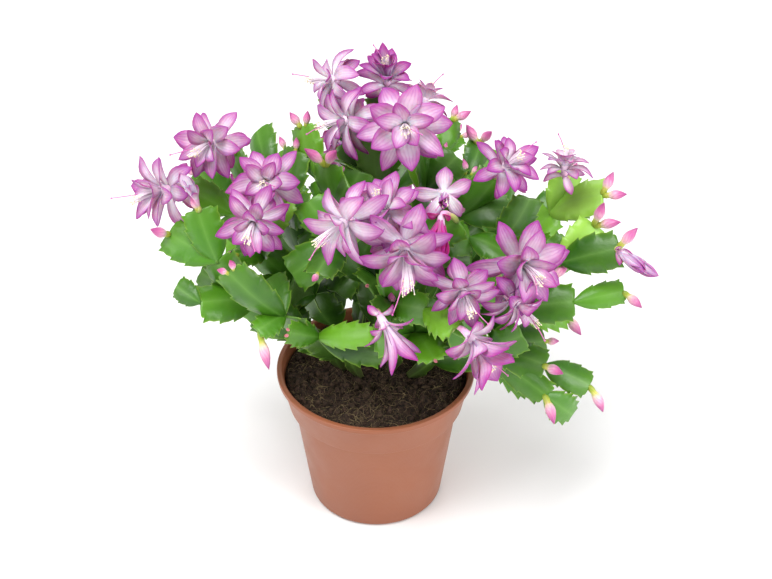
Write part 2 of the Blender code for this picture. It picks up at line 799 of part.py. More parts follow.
def main():
    clear_scene()
    parts = collection("potted_christmas_cactus")
    cutters = collection("cutters")
    make_pot(parts, cutters)
    make_soil(parts, cutters)
    places = {}
    for name, (root, joints) in STEMS.items():
        places.update(make_stem(name, root, joints, parts))
    for name, (joint, mouth, radius, pale) in FLOWERS.items():
        make_flower(name, places[joint], mouth, radius, pale, parts)
    for name, (joint, tip) in BUDS.items():
        make_bud(name, places[joint], tip, parts)


main()
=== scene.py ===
# %% [markdown]
# # A christmas cactus in full flower
#
# The real thing is a forked, leafless plant: every "leaf" is a flat link of stem with a few teeth on its
# edge, and the flowers hang on the last links. It stands in a plain terracotta-coloured nursery pot.
# The solid model fixes where every piece goes. This file loads that model as a frame, and gives each of
# its pieces a finished stand-in with real petals, veins, teeth, soil crumbs and root hairs.

# %% Load the frame
import json
import math
import random

import bmesh
import bpy
import numpy as np
from mathutils import Matrix, Vector

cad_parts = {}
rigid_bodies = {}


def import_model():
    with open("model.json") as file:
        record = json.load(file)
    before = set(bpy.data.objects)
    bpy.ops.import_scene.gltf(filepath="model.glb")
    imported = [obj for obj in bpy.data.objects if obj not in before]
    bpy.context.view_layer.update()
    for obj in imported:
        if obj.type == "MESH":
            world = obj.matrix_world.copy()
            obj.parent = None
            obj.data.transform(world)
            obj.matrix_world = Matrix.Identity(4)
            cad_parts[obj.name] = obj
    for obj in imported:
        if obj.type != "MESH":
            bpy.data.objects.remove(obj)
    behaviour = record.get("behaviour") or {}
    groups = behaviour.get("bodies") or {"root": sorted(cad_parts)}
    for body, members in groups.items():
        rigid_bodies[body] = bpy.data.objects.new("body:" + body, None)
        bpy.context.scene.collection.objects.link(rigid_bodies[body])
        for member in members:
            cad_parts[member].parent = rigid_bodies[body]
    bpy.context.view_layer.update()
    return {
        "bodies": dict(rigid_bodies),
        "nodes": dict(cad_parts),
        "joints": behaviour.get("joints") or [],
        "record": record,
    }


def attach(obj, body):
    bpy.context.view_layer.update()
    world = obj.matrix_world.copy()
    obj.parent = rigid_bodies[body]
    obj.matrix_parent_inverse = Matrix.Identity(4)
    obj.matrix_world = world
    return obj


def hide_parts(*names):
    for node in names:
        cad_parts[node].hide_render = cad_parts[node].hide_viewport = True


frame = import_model()
MM = 0.001


# %% [markdown]
# ## Camera, light and floor
#
# A plant is best shown from a little above, so that the soil and the open flowers both face us. A long
# lens keeps the pot from looking pinched. The light is a big soft box overhead with weaker ones on
# either side, as in a shop's white studio, so that petals glow and no shadow is hard.

# %% Camera
def aim_camera():
    """A long-lens camera in front of the plant, looking down at it."""
    data = bpy.data.cameras.new("camera")
    data.lens, data.sensor_width = 69.0, 36.0
    camera = bpy.data.objects.new("camera", data)
    camera.location = (0.0067, -0.752, 0.7218)
    camera.rotation_euler = (math.radians(53.5), 0, 0)
    bpy.context.scene.collection.objects.link(camera)
    bpy.context.scene.camera = camera
    return camera


camera = aim_camera()
print("camera", [round(v, 3) for v in camera.location])


# %% Lights and floor
def soft_box(name, place, target, size, power):
    """A square area light that looks at a target."""
    data = bpy.data.lights.new(name, "AREA")
    data.size, data.energy = size, power
    light = bpy.data.objects.new(name, data)
    light.location = place
    light.rotation_euler = (Vector(target) - Vector(place)).to_track_quat("-Z", "Y").to_euler()
    bpy.context.scene.collection.objects.link(light)
    return light


PLANT_HEART = (0, 0, 0.16)
# (name, place in metres, side of the square in metres, watts)
SOFT_BOXES = (
    ("overhead", (-0.25, -0.35, 1.5), 0.8, 21),
    ("left_fill", (-1.3, -0.7, 0.7), 0.8, 9),
    ("right_fill", (1.3, -0.8, 0.6), 0.8, 16),
    ("back_fill", (0.2, 1.3, 0.9), 0.9, 5),
)
for name, place, size, power in SOFT_BOXES:
    soft_box(name, place, PLANT_HEART, size, power)

studio = bpy.data.worlds.new("studio")
studio.use_nodes = True
studio.node_tree.nodes["Background"].inputs["Color"].default_value = (1, 1, 1, 1)
studio.node_tree.nodes["Background"].inputs["Strength"].default_value = 0.55
bpy.context.scene.world = studio
bpy.context.scene.view_settings.view_transform = "Standard"


# %% Hands: small helpers for modelling
def put_down_all():
    """Back to object mode with nothing selected."""
    if bpy.context.mode != "OBJECT":
        bpy.ops.object.mode_set(mode="OBJECT")
    bpy.ops.object.select_all(action="DESELECT")


def start_editing():
    """Edit mode on the active object, with nothing selected."""
    bpy.ops.object.mode_set(mode="EDIT")
    bpy.ops.mesh.select_mode(type="VERT")
    bpy.ops.mesh.select_all(action="DESELECT")


def pick(test):
    """Selects the vertices whose place passes the test, and says how many did."""
    form = bmesh.from_edit_mesh(bpy.context.edit_object.data)
    for part in (*form.faces, *form.edges):
        part.select = False
    for vert in form.verts:
        vert.select = bool(test(vert.co))
    form.select_flush_mode()
    bmesh.update_edit_mesh(bpy.context.edit_object.data)
    return sum(vert.select for vert in form.verts)


def finish_mesh(name):
    """Leaves edit mode, applies the object's place, recalculates normals and shades smooth."""
    bpy.ops.mesh.select_all(action="SELECT")
    bpy.ops.mesh.normals_make_consistent(inside=False)
    bpy.ops.object.mode_set(mode="OBJECT")
    bpy.ops.object.transform_apply(location=True, rotation=True, scale=True)
    bpy.ops.object.shade_smooth()
    bpy.context.object.name = name
    bpy.context.object.data.name = name
    return bpy.context.object


def thicken(thickness):
    """Gives the active sheet a wall, half on each side."""
    wall = bpy.context.object.modifiers.new("wall", "SOLIDIFY")
    wall.thickness, wall.offset = thickness, 0
    bpy.ops.object.modifier_apply(modifier=wall.name)


def srgb(red, green, blue):
    """A colour as a painter mixes it, 0 to 255, turned into Blender's linear one."""
    shares = [v / 255 for v in (red, green, blue)]
    linear = [v / 12.92 if v <= 0.04045 else ((v + 0.055) / 1.055) ** 2.4 for v in shares]
    return (*linear, 1)


# %% The floor
put_down_all()
bpy.ops.mesh.primitive_plane_add(size=6, location=(0, 0.8, 0))
floor = bpy.context.object
floor.name = "floor"
paper = bpy.data.materials.new("white_paper")
paper.use_nodes = True
paper.node_tree.nodes["Principled BSDF"].inputs["Base Color"].default_value = (0.9, 0.9, 0.9, 1)
paper.node_tree.nodes["Principled BSDF"].inputs["Roughness"].default_value = 0.9
floor.data.materials.append(paper)
print("floor", floor.dimensions[:2])


# %% [markdown]
# ## Finishes
#
# Plants are never one colour. Each finish below starts from what the real surface does: a petal is white
# along its middle and violet at its margin, a link of stem has a pale rib and a thin bright edge, a bud
# runs from green to pink. A pattern that follows a surface reads the piece's own UV map, and every copy
# carries a small attribute named `marks`, which says how deep its colour is, so no two are quite alike.
# On a link of stem that depth also holds painted shade and painted light: darker deep and low in the
# crown, lighter outside and on top.

# %% Node helpers and shared effects
def connect(tree, source, target):
    tree.links.new(source, target)


def step(tree, kind, values=None, **settings):
    """Adds a node, sets it up, and fills its sockets with numbers or with other nodes' outputs."""
    made = tree.nodes.new(kind)
    for key, value in settings.items():
        setattr(made, key, value)
    for key, value in (values or {}).items():
        if isinstance(value, bpy.types.NodeSocket):
            connect(tree, value, made.inputs[key])
        else:
            made.inputs[key].default_value = value
    return made


def calc(tree, operation, first, second=0.0, third=0.0, clamp=False):
    """One step of arithmetic on values or sockets."""
    values = {0: first, 1: second, 2: third}
    return step(tree, "ShaderNodeMath", values, operation=operation, use_clamp=clamp).outputs[0]


def blend(tree, share, first, second, kind="MIX"):
    """Mixes two colours by a share."""
    made = step(tree, "ShaderNodeMix", data_type="RGBA", blend_type=kind)
    for key, value in ((0, share), (6, first), (7, second)):
        if isinstance(value, bpy.types.NodeSocket):
            connect(tree, value, made.inputs[key])
        else:
            made.inputs[key].default_value = value
    return made.outputs[2]


def ramp(tree, share, stops):
    """A colour ramp through (place, colour) stops."""
    made = step(tree, "ShaderNodeValToRGB", {0: share})
    line = made.color_ramp
    while len(line.elements) < len(stops):
        line.elements.new(0.5)
    for element, (place, colour) in zip(line.elements, stops):
        element.position, element.color = place, colour
    return made.outputs[0]


def new_group(name, inputs, outputs):
    """A shader node group with named number inputs and outputs."""
    tree = bpy.data.node_groups.new(name, "ShaderNodeTree")
    for label, value in inputs:
        socket = tree.interface.new_socket(label, in_out="INPUT", socket_type="NodeSocketFloat")
        socket.default_value = value
    for label, kind in outputs:
        tree.interface.new_socket(label, in_out="OUTPUT", socket_type=kind)
    return tree, tree.nodes.new("NodeGroupInput"), tree.nodes.new("NodeGroupOutput")


def make_patches():
    """Soft patches of lighter and darker growth, from 0 to 1."""
    sockets = (("Scale", 60.0), ("Spread", 1.5))
    tree, start, end = new_group("patches", sockets, (("Patch", "NodeSocketFloat"),))
    where = step(tree, "ShaderNodeTexCoord").outputs["Object"]
    scale = start.outputs["Scale"]
    cloud = step(tree, "ShaderNodeTexNoise", {"Vector": where, "Scale": scale, "Detail": 3.0})
    centred = calc(tree, "SUBTRACT", cloud.outputs[0], 0.5)
    spread = calc(tree, "MULTIPLY_ADD", centred, start.outputs["Spread"], 0.5, clamp=True)
    connect(tree, spread, end.inputs["Patch"])
    return tree


def make_veins():
    """Fine lines that run lengthwise along a petal or a link, from 0 between them to 1 on them."""
    tree, start, end = new_group("veins", (("Lines", 9.0), ("Wander", 0.6)), (("Vein", "NodeSocketFloat"),))
    place = step(tree, "ShaderNodeSeparateXYZ", {0: step(tree, "ShaderNodeUVMap", uv_map="UVMap").outputs[0]})
    where = step(tree, "ShaderNodeTexCoord").outputs["Object"]
    drift = step(tree, "ShaderNodeTexNoise", {"Vector": where, "Scale": 180.0, "Detail": 1.0}).outputs[0]
    across = calc(tree, "MULTIPLY", place.outputs[0], start.outputs["Lines"])
    across = calc(tree, "MULTIPLY_ADD", drift, start.outputs["Wander"], across)
    wave = calc(tree, "SINE", calc(tree, "MULTIPLY", across, 2 * math.pi))
    vein = calc(tree, "MULTIPLY_ADD", wave, 0.5, 0.5)
    connect(tree, calc(tree, "POWER", vein, 2.0), end.inputs["Vein"])
    return tree


def make_grain():
    """A fine uneven skin, as a height for a bump."""
    tree, start, end = new_group("grain", (("Scale", 900.0),), (("Height", "NodeSocketFloat"),))
    where = step(tree, "ShaderNodeTexCoord").outputs["Object"]
    fine = step(tree, "ShaderNodeTexNoise", {"Vector": where, "Scale": start.outputs["Scale"], "Detail": 4.0})
    connect(tree, fine.outputs[0], end.inputs["Height"])
    return tree


PATCHES, VEINS, GRAIN = make_patches(), make_veins(), make_grain()


def use(tree, group, **values):
    """Places a shared effect in a material with its own values."""
    made = step(tree, "ShaderNodeGroup", node_tree=group)
    for label, value in values.items():
        made.inputs[label].default_value = value
    return made.outputs[0]


def new_finish(name, roughness, **sockets):
    """A material with its even values set on the shader."""
    finish = bpy.data.materials.new(name)
    finish.use_nodes = True
    shader = finish.node_tree.nodes["Principled BSDF"]
    shader.inputs["Roughness"].default_value = roughness
    for label, value in sockets.items():
        shader.inputs[label.replace("_", " ")].default_value = value
    return finish, finish.node_tree, shader


def bump(tree, shader, height, strength, distance):
    made = step(tree, "ShaderNodeBump", {"Strength": strength, "Distance": distance, "Height": height})
    connect(tree, made.outputs[0], shader.inputs["Normal"])


def surface_marks(tree):
    """The copy's own marks and the place on its UV map."""
    marks = step(tree, "ShaderNodeAttribute", attribute_name="marks")
    split = step(tree, "ShaderNodeSeparateColor", {0: marks.outputs["Color"]})
    place = step(tree, "ShaderNodeSeparateXYZ", {0: step(tree, "ShaderNodeUVMap", uv_map="UVMap").outputs[0]})
    return split.outputs, place.outputs[0], place.outputs[1]


# %% The links' green skin
def make_green_skin():
    """Waxy green: dark in the crown's shade, yellow-green when young, pale below, with a rib and an edge."""
    finish, tree, shader = new_finish("green_skin", 0.36, Specular_IOR_Level=0.42)
    marks, across, along = surface_marks(tree)
    # The ramp gives the tone its green, and with it the link's painted shade deep and low in the crown and
    # painted light outside and on top.
    tone = ramp(tree, marks[0], (
        (0.0, srgb(12, 33, 10)), (0.3, srgb(26, 72, 14)), (0.6, srgb(62, 121, 16)),
        (0.85, srgb(110, 168, 34)), (1.0, srgb(152, 200, 78)),
    ))
    patch = use(tree, PATCHES, Scale=70.0, Spread=2.2)
    tone = blend(tree, calc(tree, "MULTIPLY", patch, 0.3), tone, srgb(98, 152, 36))
    tip = calc(tree, "MULTIPLY", calc(tree, "POWER", along, 2.5), 0.22)
    tone = blend(tree, tip, tone, srgb(124, 178, 48))
    off_rib = calc(tree, "ABSOLUTE", calc(tree, "MULTIPLY_ADD", across, 2.0, -1.0))
    rib = calc(tree, "POWER", calc(tree, "SUBTRACT", 1.0, off_rib, clamp=True), 7.0)
    tone = blend(tree, calc(tree, "MULTIPLY", rib, 0.3), tone, srgb(122, 170, 80))
    edge = calc(tree, "POWER", off_rib, 26.0)
    tone = blend(tree, calc(tree, "MULTIPLY", edge, 0.6), tone, srgb(150, 190, 64))
    vein = use(tree, VEINS, Lines=3.0, Wander=0.5)
    tone = blend(tree, calc(tree, "MULTIPLY", vein, 0.05), tone, srgb(30, 74, 24))
    tone = blend(tree, calc(tree, "MULTIPLY", marks[1], 0.55), tone, srgb(110, 148, 68))
    tone = blend(tree, marks[2], tone, srgb(78, 74, 48))
    connect(tree, tone, shader.inputs["Base Color"])
    height = calc(tree, "MULTIPLY_ADD", vein, 0.25, use(tree, GRAIN, Scale=520.0))
    bump(tree, shader, height, 0.3, 0.0005)
    return finish


# %% The petals
def make_petal_skin():
    """Silky petal: white down its middle and near the throat, violet at its margin and tip."""
    finish, tree, shader = new_finish(
        "petal_skin", 0.5, Subsurface_Weight=0.25, Subsurface_Scale=0.003, Specular_IOR_Level=0.25,
    )
    marks, across, along = surface_marks(tree)
    off_middle = calc(tree, "ABSOLUTE", calc(tree, "MULTIPLY_ADD", across, 2.0, -1.0))
    margin = calc(tree, "MULTIPLY", calc(tree, "POWER", off_middle, 2.4), 0.62)
    margin = calc(tree, "MULTIPLY", margin, calc(tree, "MULTIPLY_ADD", along, 0.7, 0.3))
    tip = calc(tree, "MULTIPLY", calc(tree, "POWER", along, 2.0), 0.8)
    colour = calc(tree, "ADD", margin, tip)
    patch = calc(tree, "SUBTRACT", use(tree, PATCHES, Scale=150.0, Spread=1.6), 0.5)
    colour = calc(tree, "MULTIPLY_ADD", patch, 0.22, colour)
    vein = use(tree, VEINS, Lines=6.0, Wander=0.7)
    colour = calc(tree, "MULTIPLY_ADD", calc(tree, "MULTIPLY", vein, along), 0.13, colour)
    colour = calc(tree, "MULTIPLY_ADD", marks[1], 0.08, colour)
    colour = calc(tree, "MULTIPLY", colour, calc(tree, "MULTIPLY_ADD", marks[0], 1.3, 0.3), clamp=True)
    tone = ramp(tree, colour, (
        (0.0, srgb(238, 236, 240)), (0.16, srgb(214, 190, 209)), (0.4, srgb(180, 128, 173)),
        (0.66, srgb(159, 82, 152)), (1.0, srgb(139, 44, 133)),
    ))
    tone = blend(tree, marks[2], tone, srgb(188, 30, 132))
    connect(tree, tone, shader.inputs["Base Color"])
    bump(tree, shader, vein, 0.25, 0.0004)
    return finish


def make_throat_skin():
    """The flower's tube: a yellow-green ovary, a pink neck, then white."""
    finish, tree, shader = new_finish("throat_skin", 0.4, Subsurface_Weight=0.12, Subsurface_Scale=0.002)
    marks, across, along = surface_marks(tree)
    tone = ramp(tree, along, (
        (0.0, srgb(112, 150, 52)), (0.16, srgb(178, 198, 92)), (0.26, srgb(222, 214, 130)),
        (0.36, srgb(232, 176, 196)), (0.62, srgb(226, 168, 208)), (1.0, srgb(244, 226, 240)),
    ))
    vein = use(tree, VEINS, Lines=10.0, Wander=0.6)
    tone = blend(tree, calc(tree, "MULTIPLY", vein, 0.25), tone, srgb(214, 128, 180))
    connect(tree, tone, shader.inputs["Base Color"])
    bump(tree, shader, vein, 0.2, 0.0004)
    return finish


def make_bud_skin():
    """A closed bud: green at its foot, cream, then pink that deepens to the tip."""
    finish, tree, shader = new_finish("bud_skin", 0.36, Subsurface_Weight=0.12, Subsurface_Scale=0.002)
    marks, across, along = surface_marks(tree)
    patch = use(tree, PATCHES, Scale=260.0, Spread=1.2)
    place = calc(tree, "MULTIPLY_ADD", calc(tree, "SUBTRACT", patch, 0.5), 0.12, along, clamp=True)
    tone = ramp(tree, place, (
        (0.0, srgb(118, 148, 34)), (0.22, srgb(164, 180, 50)), (0.31, srgb(202, 200, 100)),
        (0.38, srgb(238, 212, 190)), (0.5, srgb(234, 180, 200)), (0.74, srgb(202, 108, 160)),
        (1.0, srgb(150, 42, 112)),
    ))
    vein = use(tree, VEINS, Lines=5.0, Wander=1.2)
    streak = calc(tree, "MULTIPLY", calc(tree, "MULTIPLY", vein, along), 0.5)
    tone = blend(tree, streak, tone, srgb(188, 84, 152))
    tone = blend(tree, calc(tree, "MULTIPLY", marks[1], 0.6), tone, srgb(206, 128, 96))
    connect(tree, tone, shader.inputs["Base Color"])
    bump(tree, shader, vein, 0.3, 0.0006)
    return finish


def make_plain_skin(name, colour, shade, roughness, scale):
    """A small plain part, such as a filament, in two near shades."""
    finish, tree, shader = new_finish(name, roughness)
    patch = use(tree, PATCHES, Scale=scale, Spread=2.0)
    connect(tree, blend(tree, patch, colour, shade), shader.inputs["Base Color"])
    return finish


# %% Soil, root hairs and pot
def make_soil_finish():
    """Moist peat: nearly black and dark brown patches, brown crumbs, and tan specks of fibre."""
    finish, tree, shader = new_finish("peat", 0.92, Specular_IOR_Level=0.25)
    patch = use(tree, PATCHES, Scale=420.0, Spread=2.6)
    tone = blend(tree, patch, srgb(20, 14, 12), srgb(80, 61, 49))
    coarse = use(tree, PATCHES, Scale=90.0, Spread=2.0)
    tone = blend(tree, calc(tree, "MULTIPLY", coarse, 0.4), tone, srgb(40, 29, 25))
    where = step(tree, "ShaderNodeTexCoord").outputs["Object"]
    speck = step(tree, "ShaderNodeTexVoronoi", {"Vector": where, "Scale": 900.0}).outputs["Distance"]
    speck = calc(tree, "LESS_THAN", speck, 0.13)
    tone = blend(tree, calc(tree, "MULTIPLY", speck, 0.6), tone, srgb(140, 108, 76))
    marks = surface_marks(tree)[0]
    tone = blend(tree, calc(tree, "MULTIPLY", marks[0], 0.32), tone, srgb(98, 80, 60))
    connect(tree, tone, shader.inputs["Base Color"])
    bump(tree, shader, use(tree, GRAIN, Scale=650.0), 1.0, 0.0025)
    return finish


def make_pot_finish():
    """Terracotta-coloured plastic: faint rings from the mould, scuffs, and painted shade that darkens it
    towards the bottom.
    """
    finish, tree, shader = new_finish("terracotta_plastic", 0.4, Specular_IOR_Level=0.35)
    tone = blend(tree, use(tree, PATCHES, Scale=26.0, Spread=1.6), srgb(139, 81, 55), srgb(149, 91, 64))
    where = step(tree, "ShaderNodeTexCoord").outputs["Object"]
    axis = step(tree, "ShaderNodeSeparateXYZ", {0: where})
    # Painted shade: the lower part of the pot is darker and browner.
    low = calc(tree, "MULTIPLY_ADD", axis.outputs[2], -9.0, 0.5, clamp=True)
    tone = blend(tree, calc(tree, "MULTIPLY", low, 0.35), tone, srgb(138, 76, 48))
    speck = step(tree, "ShaderNodeTexVoronoi", {"Vector": where, "Scale": 120.0}).outputs["Distance"]
    speck = calc(tree, "LESS_THAN", speck, 0.035)
    tone = blend(tree, calc(tree, "MULTIPLY", speck, 0.4), tone, srgb(90, 62, 48))
    connect(tree, tone, shader.inputs["Base Color"])
    rough = calc(tree, "MULTIPLY_ADD", use(tree, PATCHES, Scale=50.0, Spread=2.0), 0.16, 0.34)
    connect(tree, rough, shader.inputs["Roughness"])
    rings = calc(tree, "SINE", calc(tree, "MULTIPLY", axis.outputs[2], 2 * math.pi / (1.3 * MM)))
    height = calc(tree, "MULTIPLY_ADD", rings, 0.35, use(tree, GRAIN, Scale=500.0))
    bump(tree, shader, height, 0.12, 0.0004)
    return finish


green_skin = make_green_skin()
petal_skin = make_petal_skin()
throat_skin = make_throat_skin()
bud_skin = make_bud_skin()
filament_skin = make_plain_skin("filament_skin", srgb(254, 248, 252), srgb(248, 226, 242), 0.4, 300.0)
anther_skin = make_plain_skin("anther_skin", srgb(248, 242, 216), srgb(236, 220, 168), 0.7, 900.0)
pistil_skin = make_plain_skin("pistil_skin", srgb(184, 74, 148), srgb(210, 126, 184), 0.35, 300.0)
fibre_skin = make_plain_skin("fibre_skin", srgb(156, 136, 96), srgb(74, 61, 44), 0.85, 60.0)
peat = make_soil_finish()
terracotta_plastic = make_pot_finish()
print("finishes", len(bpy.data.materials))


# %% [markdown]
# ## The pot
#
# A nursery pot is blown from one thin sheet of plastic, so it could be a profile spun round an axis. Here
# it is drawn up like clay on a wheel instead: a filled circle is the floor inside, and each step extrudes
# its rim to the next height and width, up the inside, over the rolled lip and down the outside. The drain
# holes and the foot notches are then cut with plain cutters.

# %% Draw up the pot
POT_HEIGHT = 104 * MM
LIP_RADIUS = 65 * MM
LIP_DEPTH = 3.6 * MM
COLLAR_TOP_RADIUS = 62.6 * MM
COLLAR_FOOT_RADIUS = 58 * MM
COLLAR_DEPTH = 26 * MM
BODY_TOP_RADIUS = 54.6 * MM
BASE_RADIUS = 44 * MM
WALL = 1.8 * MM
POT_FLOOR = 2.2 * MM
ROUND = 0.8 * MM
POT_SIDES = 120
STEP_HEIGHT = POT_HEIGHT - COLLAR_DEPTH


def draw_up(here, profile):
    """Extrudes the selected rim through (radius, height) points, from the point `here`."""
    radius, height = here
    for next_radius, next_height in profile:
        move = {"value": (0, 0, next_height - height)}
        bpy.ops.mesh.extrude_region_move(TRANSFORM_OT_translate=move)
        share = next_radius / radius
        bpy.ops.transform.resize(value=(share, share, 1), center_override=(0, 0, 0))
        radius, height = next_radius, next_height
    return radius, height


def rounded(corner, before, after, size, steps=3):
    """Points that round a profile's corner."""
    corner = Vector(corner)
    first = corner + (Vector(before) - corner).normalized() * size
    last = corner + (Vector(after) - corner).normalized() * size
    turn = [i / steps for i in range(steps + 1)]
    return [tuple(first.lerp(corner, t).lerp(corner.lerp(last, t), t)) for t in turn]


def rounded_profile(corners, size):
    """A profile with each of its inner corners rounded."""
    points = [corners[0]]
    for before, corner, after in zip(corners, corners[1:], corners[2:]):
        points += rounded(corner, before, after, size)
    return [*points, corners[-1]]


POT_CORNERS = (
    (BASE_RADIUS - WALL, POT_FLOOR),
    (BODY_TOP_RADIUS - WALL, STEP_HEIGHT - WALL),
    (COLLAR_FOOT_RADIUS - WALL, STEP_HEIGHT + WALL),
    (COLLAR_TOP_RADIUS - WALL, POT_HEIGHT - LIP_DEPTH),
    (COLLAR_TOP_RADIUS - WALL + ROUND, POT_HEIGHT),
    (LIP_RADIUS, POT_HEIGHT),
    (LIP_RADIUS, POT_HEIGHT - LIP_DEPTH),
    (COLLAR_TOP_RADIUS, POT_HEIGHT - LIP_DEPTH - ROUND),
    (COLLAR_FOOT_RADIUS, STEP_HEIGHT),
    (BODY_TOP_RADIUS, STEP_HEIGHT - ROUND),
    (BASE_RADIUS + ROUND, 2 * ROUND),
    (BASE_RADIUS - 2 * ROUND, 0),
)


def make_pot():
    put_down_all()
    start = POT_CORNERS[0]
    bpy.ops.mesh.primitive_circle_add(
        vertices=POT_SIDES, radius=start[0], fill_type="NGON", location=(0, 0, start[1]),
    )
    bpy.ops.object.transform_apply(location=True)
    start_editing()
    pick(lambda spot: True)
    bpy.ops.mesh.select_mode(type="EDGE")
    last = draw_up(start, rounded_profile(POT_CORNERS, ROUND)[1:])
    bpy.ops.mesh.edge_face_add()
    print("pot drawn to", [round(v / MM, 1) for v in last])
    return finish_mesh("pot_body")


pot = make_pot()


# %% Cut the drain holes and the foot notches
DRAIN_COUNT = 8
DRAIN_RADIUS = 4.5 * MM
DRAIN_RING_RADIUS = 30 * MM
NOTCH_COUNT = 4
NOTCH_TURN = math.radians(-112)
NOTCH_SIZE = (12 * MM, 23 * MM, 3 * MM)


def cut(body, cutter):
    """Cuts one shape out of another, and removes the cutter."""
    put_down_all()
    body.select_set(True)
    bpy.context.view_layer.objects.active = body
    bite = body.modifiers.new("bite", "BOOLEAN")
    bite.operation, bite.object, bite.solver = "DIFFERENCE", cutter, "EXACT"
    bpy.ops.object.modifier_apply(modifier=bite.name)
    bpy.data.objects.remove(cutter)


for turn in range(DRAIN_COUNT):
    angle = 2 * math.pi * turn / DRAIN_COUNT
    spot = (DRAIN_RING_RADIUS * math.cos(angle), DRAIN_RING_RADIUS * math.sin(angle), 0)
    put_down_all()
    bpy.ops.mesh.primitive_cylinder_add(vertices=24, radius=DRAIN_RADIUS, depth=4 * POT_FLOOR, location=spot)
    cut(pot, bpy.context.object)
for turn in range(NOTCH_COUNT):
    angle = NOTCH_TURN + 2 * math.pi * turn / NOTCH_COUNT
    spot = (BASE_RADIUS * math.cos(angle), BASE_RADIUS * math.sin(angle), 0)
    put_down_all()
    bpy.ops.mesh.primitive_cube_add(size=1, location=spot, rotation=(0, 0, angle), scale=NOTCH_SIZE)
    cut(pot, bpy.context.object)
put_down_all()
pot.select_set(True)
bpy.context.view_layer.objects.active = pot
bpy.ops.object.shade_smooth_by_angle(angle=math.radians(35))
pot.data.materials.append(terracotta_plastic)
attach(pot, "root")
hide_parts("pot")
print("pot", len(pot.data.polygons), "faces")


# %% [markdown]
# ## The soil
#
# Potting peat is a dark, crumbly mass with tan root hairs matted over it. The bed is a plug whose top is
# inset into rings and pushed up and down by a cloud texture. Loose crumbs and curled hairs are one shape
# each, copied at random places, because it is their clutter that the eye reads as soil.

# %% The bed
SOIL_LEVEL = 96 * MM
SOIL_GAP = 0.3 * MM
SOIL_SIDES = 128
SOIL_RINGS = 34
slope = (COLLAR_TOP_RADIUS - COLLAR_FOOT_RADIUS) / (POT_HEIGHT - LIP_DEPTH - STEP_HEIGHT - WALL)
SOIL_RADIUS = COLLAR_FOOT_RADIUS - WALL - SOIL_GAP + slope * (SOIL_LEVEL - STEP_HEIGHT - WALL)


def make_bed():
    """The plug of soil, with a fine grid of rings on top."""
    put_down_all()
    start = (BASE_RADIUS - WALL - SOIL_GAP, POT_FLOOR + SOIL_GAP)
    bpy.ops.mesh.primitive_circle_add(
        vertices=SOIL_SIDES, radius=start[0], fill_type="NGON", location=(0, 0, start[1]),
    )
    bpy.ops.object.transform_apply(location=True)
    start_editing()
    pick(lambda spot: True)
    bpy.ops.mesh.select_mode(type="EDGE")
    rim = (
        (BODY_TOP_RADIUS - WALL - SOIL_GAP, STEP_HEIGHT - WALL),
        (COLLAR_FOOT_RADIUS - WALL - SOIL_GAP, STEP_HEIGHT + WALL),
        (SOIL_RADIUS, SOIL_LEVEL),
    )
    shares = [1 - i / SOIL_RINGS for i in range(1, SOIL_RINGS)]
    draw_up(start, (*rim, *((SOIL_RADIUS * share, SOIL_LEVEL) for share in shares)))
    bpy.ops.mesh.edge_face_add()
    bpy.ops.mesh.select_mode(type="VERT")
    bpy.ops.mesh.poke()
    return finish_mesh("soil_bed")


# The heaps of the bed: (name, size in mm, height in mm), coarse to fine
HEAPS = (("lumps", 14, 8), ("clods", 6, 5), ("crumbs", 2.2, 2.4))
HEAP_LEVEL = 0.4


def roughen(bed):
    """Pushes the top of the bed into lumps and crumbs."""
    top = bed.vertex_groups.new(name="top")
    for vert in bed.data.vertices:
        inner = math.hypot(vert.co.x, vert.co.y) < SOIL_RADIUS - MM
        if inner and vert.co.z > SOIL_LEVEL - MM:
            top.add([vert.index], 1, "REPLACE")
    for name, size, height in HEAPS:
        cloud = bpy.data.textures.new(name, "CLOUDS")
        cloud.noise_scale, cloud.noise_depth = size * MM, 3
        push = bed.modifiers.new(name, "DISPLACE")
        push.texture, push.strength, push.mid_level = cloud, height * MM, HEAP_LEVEL
        push.vertex_group, push.direction, push.texture_coords = "top", "Z", "LOCAL"
        bpy.ops.object.modifier_apply(modifier=push.name)


bed = make_bed()
roughen(bed)
bed.data.materials.append(peat)
print("soil bed", len(bed.data.polygons), "faces")


# %% Copies of one shape
def points_of(mesh):
    """A mesh's vertices as rows of x, y, z."""
    flat = np.empty(len(mesh.vertices) * 3, np.float32)
    mesh.vertices.foreach_get("co", flat)
    return flat.reshape(-1, 3).astype(np.float64)


def copied(shape, points, marks=(0.5, 0.0, 0.0)):
    """A copy of a shape with its own mesh, its vertices at `points`, and its own marks."""
    mesh = shape.data.copy()
    mesh.vertices.foreach_set("co", np.asarray(points, np.float32).ravel())
    colour = np.ones((len(mesh.vertices), 4), np.float32)
    colour[:, :3] = np.asarray(marks, np.float32)
    layer = mesh.attributes.get("marks") or mesh.attributes.new("marks", "FLOAT_COLOR", "POINT")
    layer.data.foreach_set("color", colour.ravel())
    mesh.update()
    copy = bpy.data.objects.new(shape.name, mesh)
    bpy.context.scene.collection.objects.link(copy)
    return copy


def joined(name, parts):
    """One object from several."""
    put_down_all()
    for part in parts:
        part.select_set(True)
    bpy.context.view_layer.objects.active = parts[0]
    bpy.ops.object.join()
    whole = bpy.context.object
    whole.name = name
    whole.data.name = name
    return whole


def put_away(shape):
    """Keeps a master shape for its copies, out of the picture."""
    shape.hide_render = True
    shape.hide_set(True)


def swept(points, spine, side, up):
    """Bends a shape that stands on Z, from 0 to 1, along a spine of places with a side and an up each."""
    stations = np.linspace(0, 1, len(spine))
    share = np.clip(points[:, 2], 0, 1)
    middle = np.stack([np.interp(share, stations, spine[:, k]) for k in range(3)], 1)
    right = np.stack([np.interp(share, stations, side[:, k]) for k in range(3)], 1)
    over = np.stack([np.interp(share, stations, up[:, k]) for k in range(3)], 1)
    return middle + right * points[:, :1] + over * points[:, 1:2]


